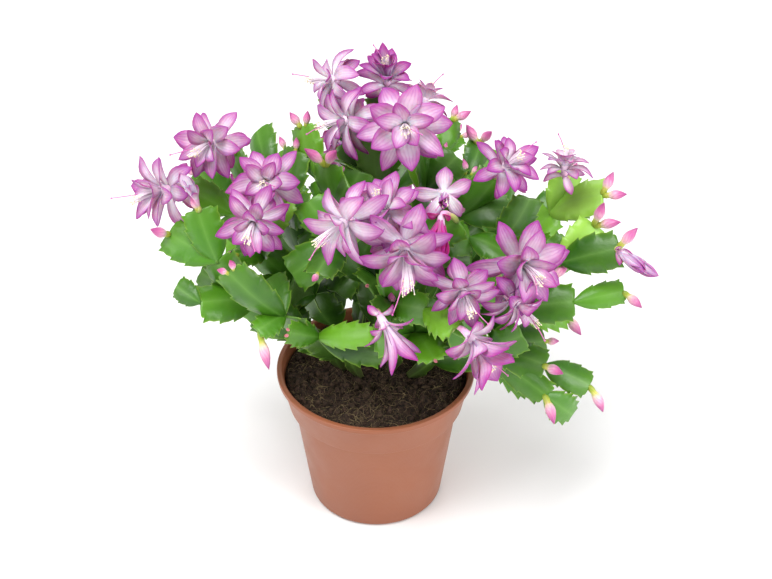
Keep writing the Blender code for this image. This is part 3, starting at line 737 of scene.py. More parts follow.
def frames_along(spine, hint):
    """A side and an up direction at each place of a spine."""
    run = np.gradient(spine, axis=0)
    run /= np.linalg.norm(run, axis=1)[:, None]
    side = np.cross(run, np.asarray(hint, float))
    side /= np.linalg.norm(side, axis=1)[:, None] + 1e-12
    return side, np.cross(side, run)


# %% Crumbs and root hairs
CRUMB_COUNT = 1100
HAIR_COUNT = 900


def make_crumb():
    put_down_all()
    bpy.ops.mesh.primitive_ico_sphere_add(subdivisions=1, radius=1)
    start_editing()
    pick(lambda spot: spot.x + spot.y > 0.4)
    bpy.ops.transform.resize(value=(0.7, 1.2, 0.8))
    pick(lambda spot: spot.z < -0.3)
    bpy.ops.transform.resize(value=(1.2, 0.8, 0.6))
    crumb = finish_mesh("crumb")
    bpy.ops.object.shade_flat()
    crumb.data.materials.append(peat)
    put_away(crumb)
    return crumb


def make_thread(name, sides, rings, finish, taper=0.35):
    """A thin round thread that stands on Z, from 0 to 1, with a radius of one."""
    put_down_all()
    bpy.ops.mesh.primitive_cylinder_add(vertices=sides, radius=1, depth=1, location=(0, 0, 0.5))
    bpy.ops.object.transform_apply(location=True)
    start_editing()
    for ring in range(1, rings):
        pick(lambda spot: True)
        bpy.ops.mesh.bisect(plane_co=(0, 0, ring / rings), plane_no=(0, 0, 1))
    pick(lambda spot: spot.z > 0.99)
    bpy.ops.transform.resize(value=(taper, taper, 1), center_override=(0, 0, 1))
    thread = finish_mesh(name)
    thread.data.materials.append(finish)
    put_away(thread)
    return thread


crumb = make_crumb()
root_hair = make_thread("root_hair", 3, 7, fibre_skin)
print("crumb", len(crumb.data.polygons), "faces, root hair", len(root_hair.data.polygons))


# %% Scatter them over the bed
def soil_height(surface, x, y):
    """How high the bed stands at a place."""
    hit, spot, _, _ = surface.ray_cast((x, y, POT_HEIGHT + 10 * MM), (0, 0, -1))
    return spot.z if hit else SOIL_LEVEL


def scattered_spot(dice):
    """A random place on the soil, as likely anywhere on it."""
    angle = dice.uniform(0, 2 * math.pi)
    radius = (SOIL_RADIUS - 2 * MM) * math.sqrt(dice.random())
    return radius * math.cos(angle), radius * math.sin(angle)


def lay_crumbs(dice):
    made = []
    base = points_of(crumb.data)
    for _ in range(CRUMB_COUNT):
        x, y = scattered_spot(dice)
        size = MM * (0.45 + 2.3 * dice.random() ** 3)
        turn = Matrix.Rotation(dice.uniform(0, 6.28), 3, dice.choice("XYZ"))
        stretch = np.array([dice.uniform(0.7, 1.3) for _ in range(3)]) * size
        points = (base * stretch) @ np.array(turn) + (x, y, soil_height(bed, x, y) + 0.3 * size)
        made.append(copied(crumb, points, (dice.random() ** 2, 0, 0)))
    return made


HAIR_STEPS = 7
SOIL_MARGIN = SOIL_RADIUS - 2 * MM


def hair_spine(dice, x, y, length):
    """A hair that wanders over the bed, and lifts off it a little."""
    heading = dice.uniform(0, 2 * math.pi)
    bend = dice.uniform(-1.0, 1.0)
    lift = dice.random() ** 2 * 3 * MM
    spine = []
    for i in range(HAIR_STEPS + 1):
        share = i / HAIR_STEPS
        limit = SOIL_MARGIN / max(math.hypot(x, y), SOIL_MARGIN)
        x, y = x * limit, y * limit
        spine.append((x, y, soil_height(bed, x, y) + 0.3 * MM + lift * math.sin(math.pi * share)))
        heading += bend * 0.25 + dice.uniform(-0.75, 0.75)
        x += math.cos(heading) * length / HAIR_STEPS
        y += math.sin(heading) * length / HAIR_STEPS
    return np.array(spine)


def lay_hairs(dice):
    made = []
    base = points_of(root_hair.data)
    for _ in range(HAIR_COUNT):
        x, y = scattered_spot(dice)
        spine = hair_spine(dice, x, y, (2.5 + 14 * dice.random() ** 2) * MM)
        side, up = frames_along(spine, (0, 0, 1))
        thick = (0.06 + 0.1 * dice.random() ** 2) * MM
        thin = base * (thick, thick, 1)
        made.append(copied(root_hair, swept(thin, spine, side, up)))
    return made


soil_parts = [copied(bed, points_of(bed.data), (0.1, 0, 0))]
soil_parts += lay_crumbs(random.Random(4)) + lay_hairs(random.Random(9))
bpy.data.objects.remove(bed)
soil = joined("soil_and_root_hairs", soil_parts)
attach(soil, "root")
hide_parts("soil")
print("soil", len(soil.data.polygons), "faces")


# %% [markdown]
# ## One link of stem
#
# What looks like a leaf is a flat link of green stem: a narrow claw where it hangs on the link before, two
# or three hooked teeth on each side, a blunt end, and a raised rib from end to end. It is modelled once
# from a flat grid. Each row is made as wide as the outline there, the outer corners are pulled out into
# teeth, and a wall is added. The links of a plant are this shape, bent to suit their own place.

# %% Model the links
# (place along the link, half width, how far the edge's corner is pulled out and forward)
LINK_ROWS = (
    (0.00, 0.16, 1, 0), (0.04, 0.20, 1, 0), (0.10, 0.36, 1, 0), (0.20, 0.60, 1, 0), (0.30, 0.77, 1, 0),
    (0.38, 0.86, 1, 0), (0.42, 0.88, 1.09, 0.02), (0.445, 0.87, 0.95, 0), (0.54, 0.93, 1, 0),
    (0.63, 0.97, 1, 0), (0.68, 0.97, 1.08, 0.025), (0.705, 0.95, 0.94, 0), (0.80, 0.92, 1, 0),
    (0.87, 0.87, 1, 0), (0.925, 0.82, 1.15, 0.045), (0.95, 0.76, 0.95, 0), (0.98, 0.70, 1, 0),
    (1.00, 0.62, 1, 0),
)
YOUNG_ROWS = (
    (0.00, 0.20, 1, 0), (0.08, 0.36, 1, 0), (0.18, 0.57, 1, 0), (0.27, 0.71, 1, 0),
    (0.32, 0.76, 1.14, 0.035), (0.35, 0.75, 0.92, 0), (0.45, 0.87, 1, 0), (0.53, 0.93, 1.14, 0.04),
    (0.56, 0.91, 0.91, 0), (0.66, 0.94, 1, 0), (0.73, 0.92, 1.14, 0.04), (0.76, 0.88, 0.90, 0),
    (0.85, 0.80, 1, 0), (0.91, 0.74, 1.16, 0.045), (0.94, 0.64, 0.88, 0), (1.00, 0.46, 1.05, 0.03),
)
FOOT_ROWS = (
    (0.00, 0.44, 1.0, 0), (0.12, 0.42, 1.0, 0), (0.30, 0.50, 1.0, 0), (0.50, 0.72, 1.0, 0),
    (0.68, 0.92, 1.12, 0.03), (0.74, 0.88, 0.94, 0), (0.88, 0.80, 1.0, 0), (1.00, 0.56, 1.0, 0),
)
COLUMNS = 4


def shape_rows(rows):
    """Moves each row of a grid, which runs from -0.5 to 0.5, to its place and width."""
    last = len(rows) - 1
    for i, (place, half_width, _, _) in reversed(list(enumerate(rows))):
        was = i / last - 0.5
        pick(lambda spot: abs(spot.y - was) < 0.25 / last)
        share = max(half_width, 0.001)
        bpy.ops.transform.resize(value=(share, 1, 1), center_override=(0, was, 0))
        bpy.ops.transform.translate(value=(0, place + 1 - was, 0))
    pick(lambda spot: True)
    bpy.ops.transform.translate(value=(0, -1, 0))


def pull_teeth(rows):
    """Pulls the outer corner of each row out and forward."""
    for place, half_width, out, forward in rows:
        if out == 1.0:
            continue
        edge = half_width / 2
        for side in (-1, 1):
            pick(lambda spot: abs(spot.y - place) < 0.008 and abs(spot.x - side * edge) < 0.02)
            move = (side * edge * (out - 1), forward, 0)
            bpy.ops.transform.translate(value=move)


def make_link(name, rows, rib):
    put_down_all()
    bpy.ops.mesh.primitive_grid_add(x_subdivisions=COLUMNS, y_subdivisions=len(rows) - 1, size=1)
    start_editing()
    shape_rows(rows)
    pull_teeth(rows)
    bpy.ops.object.mode_set(mode="OBJECT")
    thicken(1)
    start_editing()
    pick(lambda spot: abs(spot.x) < 0.02 and spot.y > 0.97)
    bpy.ops.transform.translate(value=(0, -0.02, 0))
    pick(lambda spot: abs(spot.x) < 0.02)
    bpy.ops.transform.resize(value=(1, 1, rib), center_override=(0, 0.5, 0))
    outline = {round(place, 3): half_width / 2 for place, half_width, _, _ in rows}
    pick(lambda spot: abs(spot.x) > 0.7 * outline.get(round(spot.y, 3), 0.3))
    bpy.ops.transform.resize(value=(1, 1, 0.4), center_override=(0, 0.5, 0))
    link = finish_mesh(name)
    link.data.materials.append(green_skin)
    put_away(link)
    return link


link = make_link("link", LINK_ROWS, 1.7)
young_link = make_link("young_link", YOUNG_ROWS, 1.5)
foot_link = make_link("foot_link", FOOT_ROWS, 2.6)
print("link", len(link.data.polygons), "faces")


# %% [markdown]
# ## The stems
#
# Each stem is one cutting that forks again and again. The table says where each fork or tip is, in
# millimetres, and it is the solid model's own table, so the links lie where the solids are. A link faces
# out and up from the crown, towards the light, as the living ones turn themselves.

# %% Where the links go
# Each stem: where it is rooted (x, y in mm), then its joints, each as
# (joint, grows from, end point in mm, number of links, roll in degrees).
STEMS = {
    "stem_left_low": (
        (-18, 8),
        (
            ("AB", "root", (-45, -15, 140), 2, 0),
            ("A0", "AB", (-75, -20, 170), 1, 0),
            ("A1", "A0", (-95, -25, 205), 1, 0),
            ("A2", "A1", (-125, -10, 215), 1, 0),
            ("A3", "A1", (-105, -15, 235), 1, 20),
            ("A4", "A0", (-105, -40, 185), 1, 0),
            ("A5", "A4", (-120, -30, 190), 1, 0),
            ("A6", "A0", (-110, 5, 175), 1, 0),
            ("A7", "AB", (-76, -12, 152), 1, 0),
            ("A8", "AB", (-54, -1, 148), 1, 20),
            ("B0", "AB", (-55, -40, 175), 1, 0),
            ("B1", "B0", (-70, -55, 175), 1, 0),
            ("B2", "B0", (-85, -50, 215), 1, 0),
            ("B3", "B0", (-65, -15, 185), 1, 0),
        ),
    ),
    "stem_left_up": (
        (-18, 22),
        (
            ("CD", "root", (-40, 15, 150), 2, 0),
            ("C0", "CD", (-70, 10, 185), 1, 0),
            ("C1", "C0", (-90, 20, 210), 1, 0),
            ("C1b", "C1", (-115, 25, 225), 1, 0),
            ("C2", "C0", (-85, -5, 195), 1, 0),
            ("C3", "C0", (-65, -10, 225), 1, 0),
            ("C4", "C0", (-55, 20, 220), 1, 0),
            ("D0", "CD", (-55, 30, 205), 2, 0),
            ("D1", "D0", (-65, 45, 225), 1, 0),
            ("D1b", "D1", (-75, 70, 240), 1, 0),
            ("D2", "D0", (-80, 40, 220), 1, 0),
            ("D2b", "D2", (-90, 50, 235), 1, 0),
            ("D3", "D0", (-50, 45, 240), 1, 0),
            ("C5", "CD", (-52, -12, 176), 1, 0),
            ("C7", "CD", (-70, -4, 168), 1, 0),
            ("C8", "CD", (-20, 30, 136), 1, 60),
            ("D4", "D0", (-42, 5, 222), 1, 0),
        ),
    ),
    "stem_top_left": (
        (-6, 26),
        (
            ("EF", "root", (-10, 28, 172), 2, 0),
            ("E0", "EF", (-22, 20, 208), 1, 0),
            ("E1", "E0", (-35, 35, 225), 1, 0),
            ("E1b", "E1", (-45, 50, 255), 1, 0),
            ("E2", "E0", (-30, 20, 245), 1, 0),
            ("E3", "E0", (-46, 10, 190), 1, 0),
            ("E4", "EF", (-38, 8, 178), 1, 0),
            ("E5", "E0", (-16, 8, 238), 1, 15),
            ("E8", "E0", (-9, 27, 236), 1, 30),
            ("E6", "EF", (-25, 3, 161), 1, 0),
            ("F0", "EF", (0, 42, 215), 1, 0),
            ("F1", "F0", (0, 42, 255), 1, 0),
            ("F2", "F0", (-12, 65, 255), 1, 0),
            ("F3", "F0", (-18, 55, 240), 1, 0),
            ("F3b", "F3", (-26, 76, 262), 1, 0),
            ("F4", "F0", (10, 60, 240), 1, 0),
            ("F5", "F4", (2, 80, 260), 1, 0),
            ("F6", "F0", (-22, 36, 238), 1, 0),
        ),
    ),
    "stem_top_right": (
        (7, 24),
        (
            ("GH", "root", (28, 26, 168), 2, 0),
            ("G0", "GH", (30, 38, 212), 1, 0),
            ("G1", "G0", (42, 50, 235), 1, 0),
            ("G1b", "G1", (48, 62, 253), 1, 0),
            ("G2", "G0", (25, 30, 255), 1, 0),
            ("G3", "G0", (26, 66, 235), 1, 0),
            ("G3b", "G3", (28, 84, 248), 1, 0),
            ("G4", "GH", (44, 8, 192), 1, 0),
            ("G5", "G0", (51, 45, 236), 1, 0),
            ("H0", "GH", (52, 25, 205), 1, 0),
            ("H1", "H0", (58, 42, 225), 1, 0),
            ("H1b", "H1", (66, 58, 238), 1, 0),
            ("H2", "H0", (75, 20, 238), 1, 0),
            ("H3", "H0", (42, 12, 238), 1, 0),
            ("H4", "H0", (84, 20, 212), 1, 0),
            ("H5", "GH", (61, 16, 176), 1, 0),
        ),
    ),
    "stem_centre": (
        (0, 12),
        (
            ("PQ", "root", (0, -2, 172), 2, 0),
            ("P0", "PQ", (-20, -15, 212), 1, 0),
            ("P1", "P0", (-15, -35, 245), 1, 0),
            ("P2", "P0", (-40, -5, 235), 1, 0),
            ("P3", "P0", (-50, -25, 195), 1, 0),
            ("P4", "P0", (-34, -42, 208), 1, 0),
            ("P5", "PQ", (-4, -30, 190), 1, 0),
            ("Q0", "PQ", (20, -15, 212), 1, 0),
            ("Q1", "Q0", (15, -32, 238), 1, 0),
            ("Q2", "Q0", (40, -42, 222), 1, 0),
            ("Q3", "Q0", (50, -22, 232), 1, 0),
            ("Q4", "Q0", (58, 0, 205), 1, 0),
            ("Q5", "PQ", (30, -12, 186), 1, 0),
            ("Q6", "Q4", (84, -14, 200), 1, 0),
        ),
    ),
    "stem_front": (
        (8, 4),
        (
            ("MN", "root", (24, -24, 150), 2, 0),
            ("M0", "MN", (42, -40, 182), 1, 0),
            ("M1", "M0", (60, -52, 205), 1, 0),
            ("M2", "M0", (45, -68, 185), 1, 0),
            ("M3", "M0", (62, -40, 148), 1, 0),
            ("M4", "M0", (76, -28, 198), 1, 0),
            ("M5", "MN", (36, -54, 152), 1, 0),
            ("N0", "MN", (10, -45, 188), 1, 0),
            ("N1", "N0", (2, -65, 196), 1, 0),
            ("N2", "N0", (15, -50, 220), 1, 0),
            ("N3", "N0", (30, -64, 198), 1, 0),
            ("N3b", "N3", (45, -88, 202), 1, 0),
            ("N4", "MN", (0, -46, 160), 1, 0),
        ),
    ),
    "stem_front_left": (
        (-8, 2),
        (
            ("O0", "root", (-35, -35, 155), 2, 0),
            ("O1", "O0", (-52, -52, 172), 1, 0),
            ("O2", "O0", (-2, -58, 175), 1, 0),
            ("O3", "O0", (5, -32, 142), 1, 0),
        ),
    ),
    "stem_right_back": (
        (19, 26),
        (
            ("I0", "root", (85, 28, 175), 3, 0),
            ("I1", "I0", (112, 38, 198), 1, 0),
            ("I2", "I1", (124, 50, 222), 1, 0),
            ("I3", "I1", (142, 25, 220), 1, 0),
            ("I4", "I0", (78, 5, 200), 1, 0),
            ("I4b", "I4", (94, 6, 230), 1, 0),
            ("I5", "I0", (110, 20, 186), 1, 0),
            ("I6", "I1", (140, 52, 200), 1, 0),
        ),
    ),
    "stem_right": (
        (20, 13),
        (
            ("JK", "root", (62, 2, 142), 2, 0),
            ("J0", "JK", (98, 8, 168), 1, 0),
            ("J1", "J0", (115, -8, 192), 1, 0),
            ("J1b", "J1", (135, 5, 211), 1, 0),
            ("J2", "J1", (147, -20, 211), 1, 0),
            ("J3", "J0", (122, 12, 192), 1, 0),
            ("K0", "JK", (86, -16, 162), 1, 0),
            ("K1", "K0", (122, -26, 175), 1, 0),
            ("K1b", "K1", (153, -20, 179), 1, 0),
            ("K2", "K0", (122, -4, 150), 1, 0),
            ("K3", "K0", (108, -8, 180), 1, 0),
            ("K4", "JK", (66, -28, 160), 1, 0),
            ("K5", "JK", (78, 20, 172), 1, 0),
        ),
    ),
    "stem_right_low": (
        (16, 2),
        (
            ("L0", "root", (70, -26, 138), 2, 0),
            ("L1", "L0", (105, -42, 138), 1, 0),
            ("L1b", "L1", (134, -42, 122), 1, 0),
            ("L2", "L0", (105, -56, 126), 1, 30),
            ("L3", "L2", (124, -48, 103), 1, 20),
            ("L4", "L0", (90, -40, 160), 1, 0),
            ("L5", "L0", (108, -10, 132), 1, 0),
            ("L6", "L0", (96, -40, 114), 1, 20),
        ),
    ),
    "stem_back_right": (
        (12, 36),
        (
            ("R0", "root", (75, 72, 160), 3, 0),
            ("R1", "R0", (104, 76, 174), 1, 0),
            ("R1b", "R1", (132, 85, 182), 1, 0),
            ("R2", "R0", (88, 108, 178), 1, 0),
            ("R3", "R0", (70, 84, 190), 1, 0),
            ("R4", "R0", (110, 70, 150), 1, 0),
            ("R5", "R0", (90, 56, 188), 1, 0),
            ("R3b", "R3", (82, 100, 206), 1, 0),
        ),
    ),
    "stem_back": (
        (2, 38),
        (
            ("S0", "root", (15, 88, 185), 3, 0),
            ("S1", "S0", (36, 96, 205), 1, 0),
            ("S2", "S0", (-10, 105, 212), 1, 0),
            ("S2b", "S2", (-20, 118, 228), 1, 0),
            ("S3", "S0", (20, 124, 180), 1, 0),
            ("S1b", "S1", (55, 108, 215), 1, 0),
        ),
    ),
    "stem_back_low": (
        (-8, 36),
        (
            ("U0", "root", (-20, 82, 140), 2, 0),
            ("U1", "U0", (-52, 98, 148), 1, 0),
            ("U2", "U0", (-12, 118, 135), 1, 0),
            ("U3", "U0", (16, 102, 150), 1, 0),
        ),
    ),
    "stem_back_left": (
        (-18, 32),
        (
            ("T0", "root", (-65, 68, 168), 3, 0),
            ("T1", "T0", (-94, 74, 182), 1, 0),
            ("T1b", "T1", (-118, 78, 204), 1, 0),
            ("T2", "T0", (-75, 102, 180), 1, 0),
            ("T3", "T0", (-52, 86, 190), 1, 0),
            ("T4", "T0", (-100, 58, 158), 1, 0),
            ("T5", "T0", (-90, 58, 192), 1, 0),
            ("T3b", "T3", (-60, 100, 208), 1, 0),
        ),
    ),
}

# %% How a link faces
CROWN = Vector((0, 20 * MM, SOIL_LEVEL))
FACING_RADIAL, FACING_FRONT, FACING_UP = 0.6, 0.5, 0.8
ROOT_ARCH = 0.55
LINK_WIDTH = 25 * MM
FOOT_WIDTH = 10 * MM
LINK_THICK = 1.6 * MM
FULL_LENGTH = 36 * MM
NARROWEST = 0.25
BOW = 0.05


def facing(middle, along, roll):
    """The way a link's flat side looks: out from the crown, forward and up, across its run."""
    out = Vector((middle.x - CROWN.x, middle.y - CROWN.y, 0))
    out = out.normalized() * FACING_RADIAL + Vector((0, -FACING_FRONT, FACING_UP))
    across = out - along * out.dot(along)
    return Matrix.Rotation(math.radians(roll), 3, along) @ across.normalized()


def arched(start, end, count, rooted):
    """The ends of `count` links from start to end, on an arch that leaves a root upright."""
    if count == 1:
        return [end]
    middle = (start + end) / 2
    if rooted:
        middle = Vector((start.x, start.y, 0)).lerp(middle, ROOT_ARCH)
        middle.z = start.z + ROOT_ARCH * (end.z - start.z)
    shares = [i / count for i in range(1, count + 1)]
    return [start * (1 - t) ** 2 + middle * 2 * t * (1 - t) + end * t * t for t in shares]


joint_place, joint_run = {}, {}
for root, joints in STEMS.values():
    foot = Vector((root[0] * MM, root[1] * MM, SOIL_LEVEL))
    joint_place["root"] = foot
    for joint, parent, end, count, roll in joints:
        start = joint_place[parent]
        stops = arched(start, Vector(end) * MM, count, parent == "root")
        joint_place[joint] = stops[-1]
        joint_run[joint] = (stops[-1] - (stops[-2] if count > 1 else start)).normalized()


# %% [markdown]
# ## Buds
#
# A bud is a spindle: a green ovary, a slight waist, and rolled petals that end in a point. The big ones are
# pieces of their own. The small ones sit in ones and twos on the ends of the links, and belong to the stem.

# %% Model a bud
# (height, radius) of a bud one unit long
BUD_OUTLINE = (
    (0.02, 0.075), (0.08, 0.105), (0.17, 0.125), (0.25, 0.115), (0.31, 0.115), (0.39, 0.155),
    (0.50, 0.190), (0.61, 0.188), (0.73, 0.155), (0.85, 0.098), (0.94, 0.048), (1.00, 0.010),
)
BUD_SIDES = 10


def make_spindle(name, outline, sides, finish, swirl=0.0):
    """A closed spindle on Z, with a UV map that runs round it and up it."""
    put_down_all()
    start = outline[0]
    bpy.ops.mesh.primitive_circle_add(vertices=sides, radius=start[1], fill_type="NGON")
    start_editing()
    pick(lambda spot: True)
    bpy.ops.transform.translate(value=(0, 0, start[0]))
    bpy.ops.mesh.select_mode(type="EDGE")
    draw_up((start[1], start[0]), [(radius, height) for height, radius in outline[1:]])
    bpy.ops.mesh.edge_face_add()
    spindle = finish_mesh(name)
    charts = spindle.data.uv_layers
    chart = charts[0] if charts else charts.new(name="UVMap")
    chart.name = "UVMap"
    for loop in spindle.data.loops:
        spot = spindle.data.vertices[loop.vertex_index].co
        round_it = math.atan2(spot.y, spot.x) / (2 * math.pi) + swirl * spot.z
        chart.data[loop.index].uv = (abs(round_it % 1.0 * 2 - 1), spot.z)
    spindle.data.materials.append(finish)
    put_away(spindle)
    return spindle


bud_shape = make_spindle("bud", BUD_OUTLINE, BUD_SIDES, bud_skin, swirl=0.35)
KNUCKLE_OUTLINE = ((0, 0.2), (0.2, 0.42), (0.5, 0.5), (0.8, 0.42), (1, 0.2))
knuckle_shape = make_spindle("knuckle", KNUCKLE_OUTLINE, 8, green_skin)
print("bud", len(bud_shape.data.polygons), "faces")


# %% Place a bud
WIDEST_BUD = 17 * MM  # a longer bud gets no fatter than one of this length


def axis_frame(along):
    """Columns of a frame whose Z is the given direction and whose X is level."""
    level = Vector((0, 0, 1)).cross(along)
    level = level.normalized() if level.length > 0.05 else Vector((1, 0, 0))
    return np.array([level, along.cross(level), along])


def bud_copy(base, tip, fatness, dice, brown=0.0):
    """A bud from its base to its tip, with a slight bend."""
    length = (tip - base).length
    points = points_of(bud_shape.data)
    points[:, :2] *= min(fatness * length, WIDEST_BUD)
    points[:, 0] += 0.06 * length * np.sin(np.pi * points[:, 2]) * dice.uniform(-1, 1)
    points[:, 2] *= length
    turn = np.array(Matrix.Rotation(dice.uniform(0, 6.28), 3, "Z"))
    points = points @ turn @ axis_frame((tip - base).normalized()) + np.array(base)
    return copied(bud_shape, points, (dice.random(), brown, 0))


# %% [markdown]
# The small buds: joint, how many, and their length in millimetres. They spread from the blunt end of the
# link, a pair as a V.

# %% Grow the stems
SMALL_BUDS = {
    "B2": (2, 9), "C2": (1, 13), "E1b": (2, 13), "F1": (1, 14), "F2": (2, 9), "G1b": (1, 12),
    "G1": (1, 10), "H1": (2, 10), "D4": (1, 14), "K3": (1, 18), "L5": (1, 12), "L1": (1, 16),
    "N0": (2, 13), "H0": (1, 16), "Q0": (2, 10), "N1": (1, 6), "O0": (1, 6), "O1": (2, 5),
    "R5": (1, 5), "R1": (2, 6), "R0": (1, 7), "I2": (1, 8), "A3": (1, 12), "C1b": (1, 13),
    "D2": (2, 12), "P4": (1, 9), "D3": (1, 10), "F5": (1, 10), "S1b": (2, 9), "T1b": (2, 10),
    "T5": (1, 9), "R1b": (2, 11), "R3b": (1, 12), "U1": (1, 9), "U2": (2, 8), "T3b": (1, 12),
    "S2b": (2, 12), "I6": (1, 12), "M5": (1, 6), "P5": (1, 6), "K5": (1, 6),
}
YOUNG = {"O1", "O2", "N3b", "L3", "B1", "M5", "N4", "T4", "K2", "L6"}
PALE = {"I2", "G3", "G1b", "H3", "I3", "C4", "E2", "E1b", "P1", "I1", "J1b"}


# Links that are narrower or wider than the rule makes them, as a share of it. The wide ones fill the crown.
WIDTHS = {
    "L2": 0.8, "L6": 0.72, "K1b": 0.72, "A6": 0.85, "A7": 0.8, "O2": 0.7, "O1": 0.76, "L1b": 0.85,
    "CD": 1.35, "A8": 1.3, "C8": 1.35, "B0": 1.15,
}


def link_tone_and_painted_shade(joint, middle, dice):
    """How light a link's green is: painted shade makes it dark low in the crown, and painted light makes it
    lighter outside and on top, besides its own young or pale green.
    """
    reach = math.hypot(middle.x, middle.y - CROWN.y) / (110 * MM)
    height = (middle.z - 130 * MM) / (120 * MM)
    tone = 0.03 + 0.31 * min(reach, 1) + 0.27 * max(0, min(height, 1)) + dice.uniform(-0.16, 0.22)
    tone += 0.3 * (joint in YOUNG) + 0.34 * (joint in PALE)
    return max(0.02, min(tone, 1.0))


def link_copy(shape, start, end, roll, width, tone, wood, dice):
    """One link bent to run from start to end."""
    along = (end - start).normalized()
    length = (end - start).length
    face = facing((start + end) / 2, along, roll + dice.uniform(-9, 9))
    side = along.cross(face).normalized()
    points = points_of(shape.data)
    across, up = points[:, 0], points[:, 2]
    along_share = points[:, 1] + dice.uniform(-0.05, 0.05) * across * 2
    reach = 2 * across
    cup = dice.uniform(-0.17, -0.01) * width * reach ** 2
    wave = 0.035 * width * np.sin(7 * points[:, 1] + dice.uniform(0, 6.28)) * reach
    twist = dice.uniform(-0.14, 0.14) * (points[:, 1] - 0.3) * across * width
    bend = (BOW + dice.uniform(-0.01, 0.05)) * length * np.sin(np.pi * np.clip(points[:, 1], 0, 1))
    thick = LINK_THICK * (1.15 - 0.45 * points[:, 1])
    lift = bend + cup + wave + twist + up * thick
    overlap = 0.02 * length
    run = along_share * (length + 2 * overlap) - overlap
    spots = np.array(start) + run[:, None] * np.array(along)
    spots = spots + (across * width)[:, None] * np.array(side) + lift[:, None] * np.array(face)
    marks = np.zeros((len(points), 3))
    marks[:, 0] = tone
    marks[:, 1] = up < 0
    marks[:, 2] = wood * (1 - np.clip(points[:, 1], 0, 1)) if wood else 0
    return copied(shape, spots, marks)


def knuckle_copy(place, along, size, dice):
    """The woody swelling where a stem forks."""
    points = points_of(knuckle_shape.data)
    points[:, 2] -= 0.5
    points *= (size, 0.72 * size, 0.9 * size)
    spots = points @ axis_frame(along) + np.array(place)
    return copied(knuckle_shape, spots, (0.35 + 0.2 * dice.random(), 0.1, 0.1))


def small_buds(joint, dice):
    """The small buds on the end of one link."""
    count, size = SMALL_BUDS.get(joint, (0, 0))
    place, along = joint_place[joint], joint_run[joint]
    side = along.cross(facing(place, along, 0)).normalized()
    made = []
    for i in range(count):
        lean = (i - (count - 1) / 2) * 1.1 + dice.uniform(-0.25, 0.25)
        base = place + side * lean * 2.6 * MM - along * 1.5 * MM
        toward = (along + side * lean * 0.7 + Vector((0, -0.15, 0.1))).normalized()
        length = size * MM * dice.uniform(0.88, 1.12)
        made.append(bud_copy(base, base + toward * length, 1.12, dice, brown=0.8 * (size < 7)))
    return made


def grow_stem(name, root, joints):
    """All the links of one stem. The first that leaves the soil is its woody foot."""
    dice = random.Random(name)
    parts = []
    foot = Vector((root[0] * MM, root[1] * MM, SOIL_LEVEL - 7 * MM))
    ends = {"root": foot}
    parents = [joint[1] for joint in joints]
    for joint, parent, end, count, roll in joints:
        rooted = parent == "root"
        start = ends[parent]
        for number, stop in enumerate(arched(start, Vector(end) * MM, count, rooted)):
            length = (stop - start).length
            middle = (start + stop) / 2
            woody = rooted and number == 0
            if woody:
                shape, width = foot_link, FOOT_WIDTH
            else:
                shape = young_link if joint in YOUNG else link
                width = LINK_WIDTH * min(1, NARROWEST + (1 - NARROWEST) * length / FULL_LENGTH)
            width *= WIDTHS.get(joint, 1) * dice.uniform(0.97, 1.08)
            # The links of a rooted joint, low in the crown by the soil, are darkened further as painted
            # shade.
            tone = link_tone_and_painted_shade(joint, middle, dice) * (0.6 if rooted else 1)
            parts.append(link_copy(shape, start, stop, roll, width, tone, 0.95 * woody, dice))
            start = stop
        ends[joint] = start
        if parents.count(joint) > 1:
            parts.append(knuckle_copy(start, joint_run[joint], 4.2 * MM, dice))
        parts += small_buds(joint, dice)
    stem = joined(name + "_links", parts)
    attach(stem, "root")
    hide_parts(name)
    return stem


stems = [grow_stem(name, root, joints) for name, (root, joints) in STEMS.items()]
print("stems", len(stems), "with", sum(len(stem.data.polygons) for stem in stems), "faces")


# %% [markdown]
# ## Flowers
#
# The flower of this plant has no cup. Petals leave a slender tube in several whorls, each whorl bent back
# further than the one before it, and a bundle of white stamens with one magenta pistil stands out of the
# throat. One petal is modelled flat, as a grid narrowed to a point, and every petal of the plant is that
# shape rolled along its own curve.

# %% Model a petal
PETAL_ROWS = (
    (0.00, 0.36, 1, 0), (0.12, 0.50, 1, 0), (0.26, 0.72, 1, 0), (0.40, 0.90, 1, 0), (0.54, 1.00, 1, 0),
    (0.67, 0.98, 1, 0), (0.78, 0.82, 1, 0), (0.88, 0.54, 1, 0), (0.96, 0.22, 1, 0), (1.00, 0.03, 1, 0),
)


def make_petal():
    put_down_all()
    bpy.ops.mesh.primitive_grid_add(x_subdivisions=COLUMNS, y_subdivisions=len(PETAL_ROWS) - 1, size=1)
    start_editing()
    shape_rows(PETAL_ROWS)
    bpy.ops.object.mode_set(mode="OBJECT")
    thicken(1)
    start_editing()
    pick(lambda spot: abs(spot.x) < 0.02 and spot.y < 0.9)
    bpy.ops.transform.resize(value=(1, 1, 1.6), center_override=(0, 0.5, 0))
    petal = finish_mesh("petal")
    petal.data.materials.append(petal_skin)
    put_away(petal)
    return petal


petal = make_petal()
TUBE_OUTLINE = (
    (0.00, 1.0), (0.04, 1.5), (0.11, 1.7), (0.18, 1.45), (0.24, 1.0), (0.4, 1.15), (0.6, 1.5),
    (0.8, 2.0), (1.0, 2.4),
)
tube_shape = make_spindle("tube", TUBE_OUTLINE, 12, throat_skin)
filament = make_thread("filament", 3, 4, filament_skin, taper=0.7)
pistil = make_thread("pistil", 5, 6, pistil_skin, taper=0.9)


def make_bead(name, finish):
    put_down_all()
    bpy.ops.mesh.primitive_ico_sphere_add(subdivisions=1, radius=1)
    start_editing()
    pick(lambda spot: spot.z > 0.3)
    bpy.ops.transform.translate(value=(0, 0, 0.5))
    bead = finish_mesh(name)
    bead.data.materials.append(finish)
    put_away(bead)
    return bead


anther = make_bead("anther", anther_skin)
stigma = make_bead("stigma", pistil_skin)
print("petal", len(petal.data.polygons), "faces")


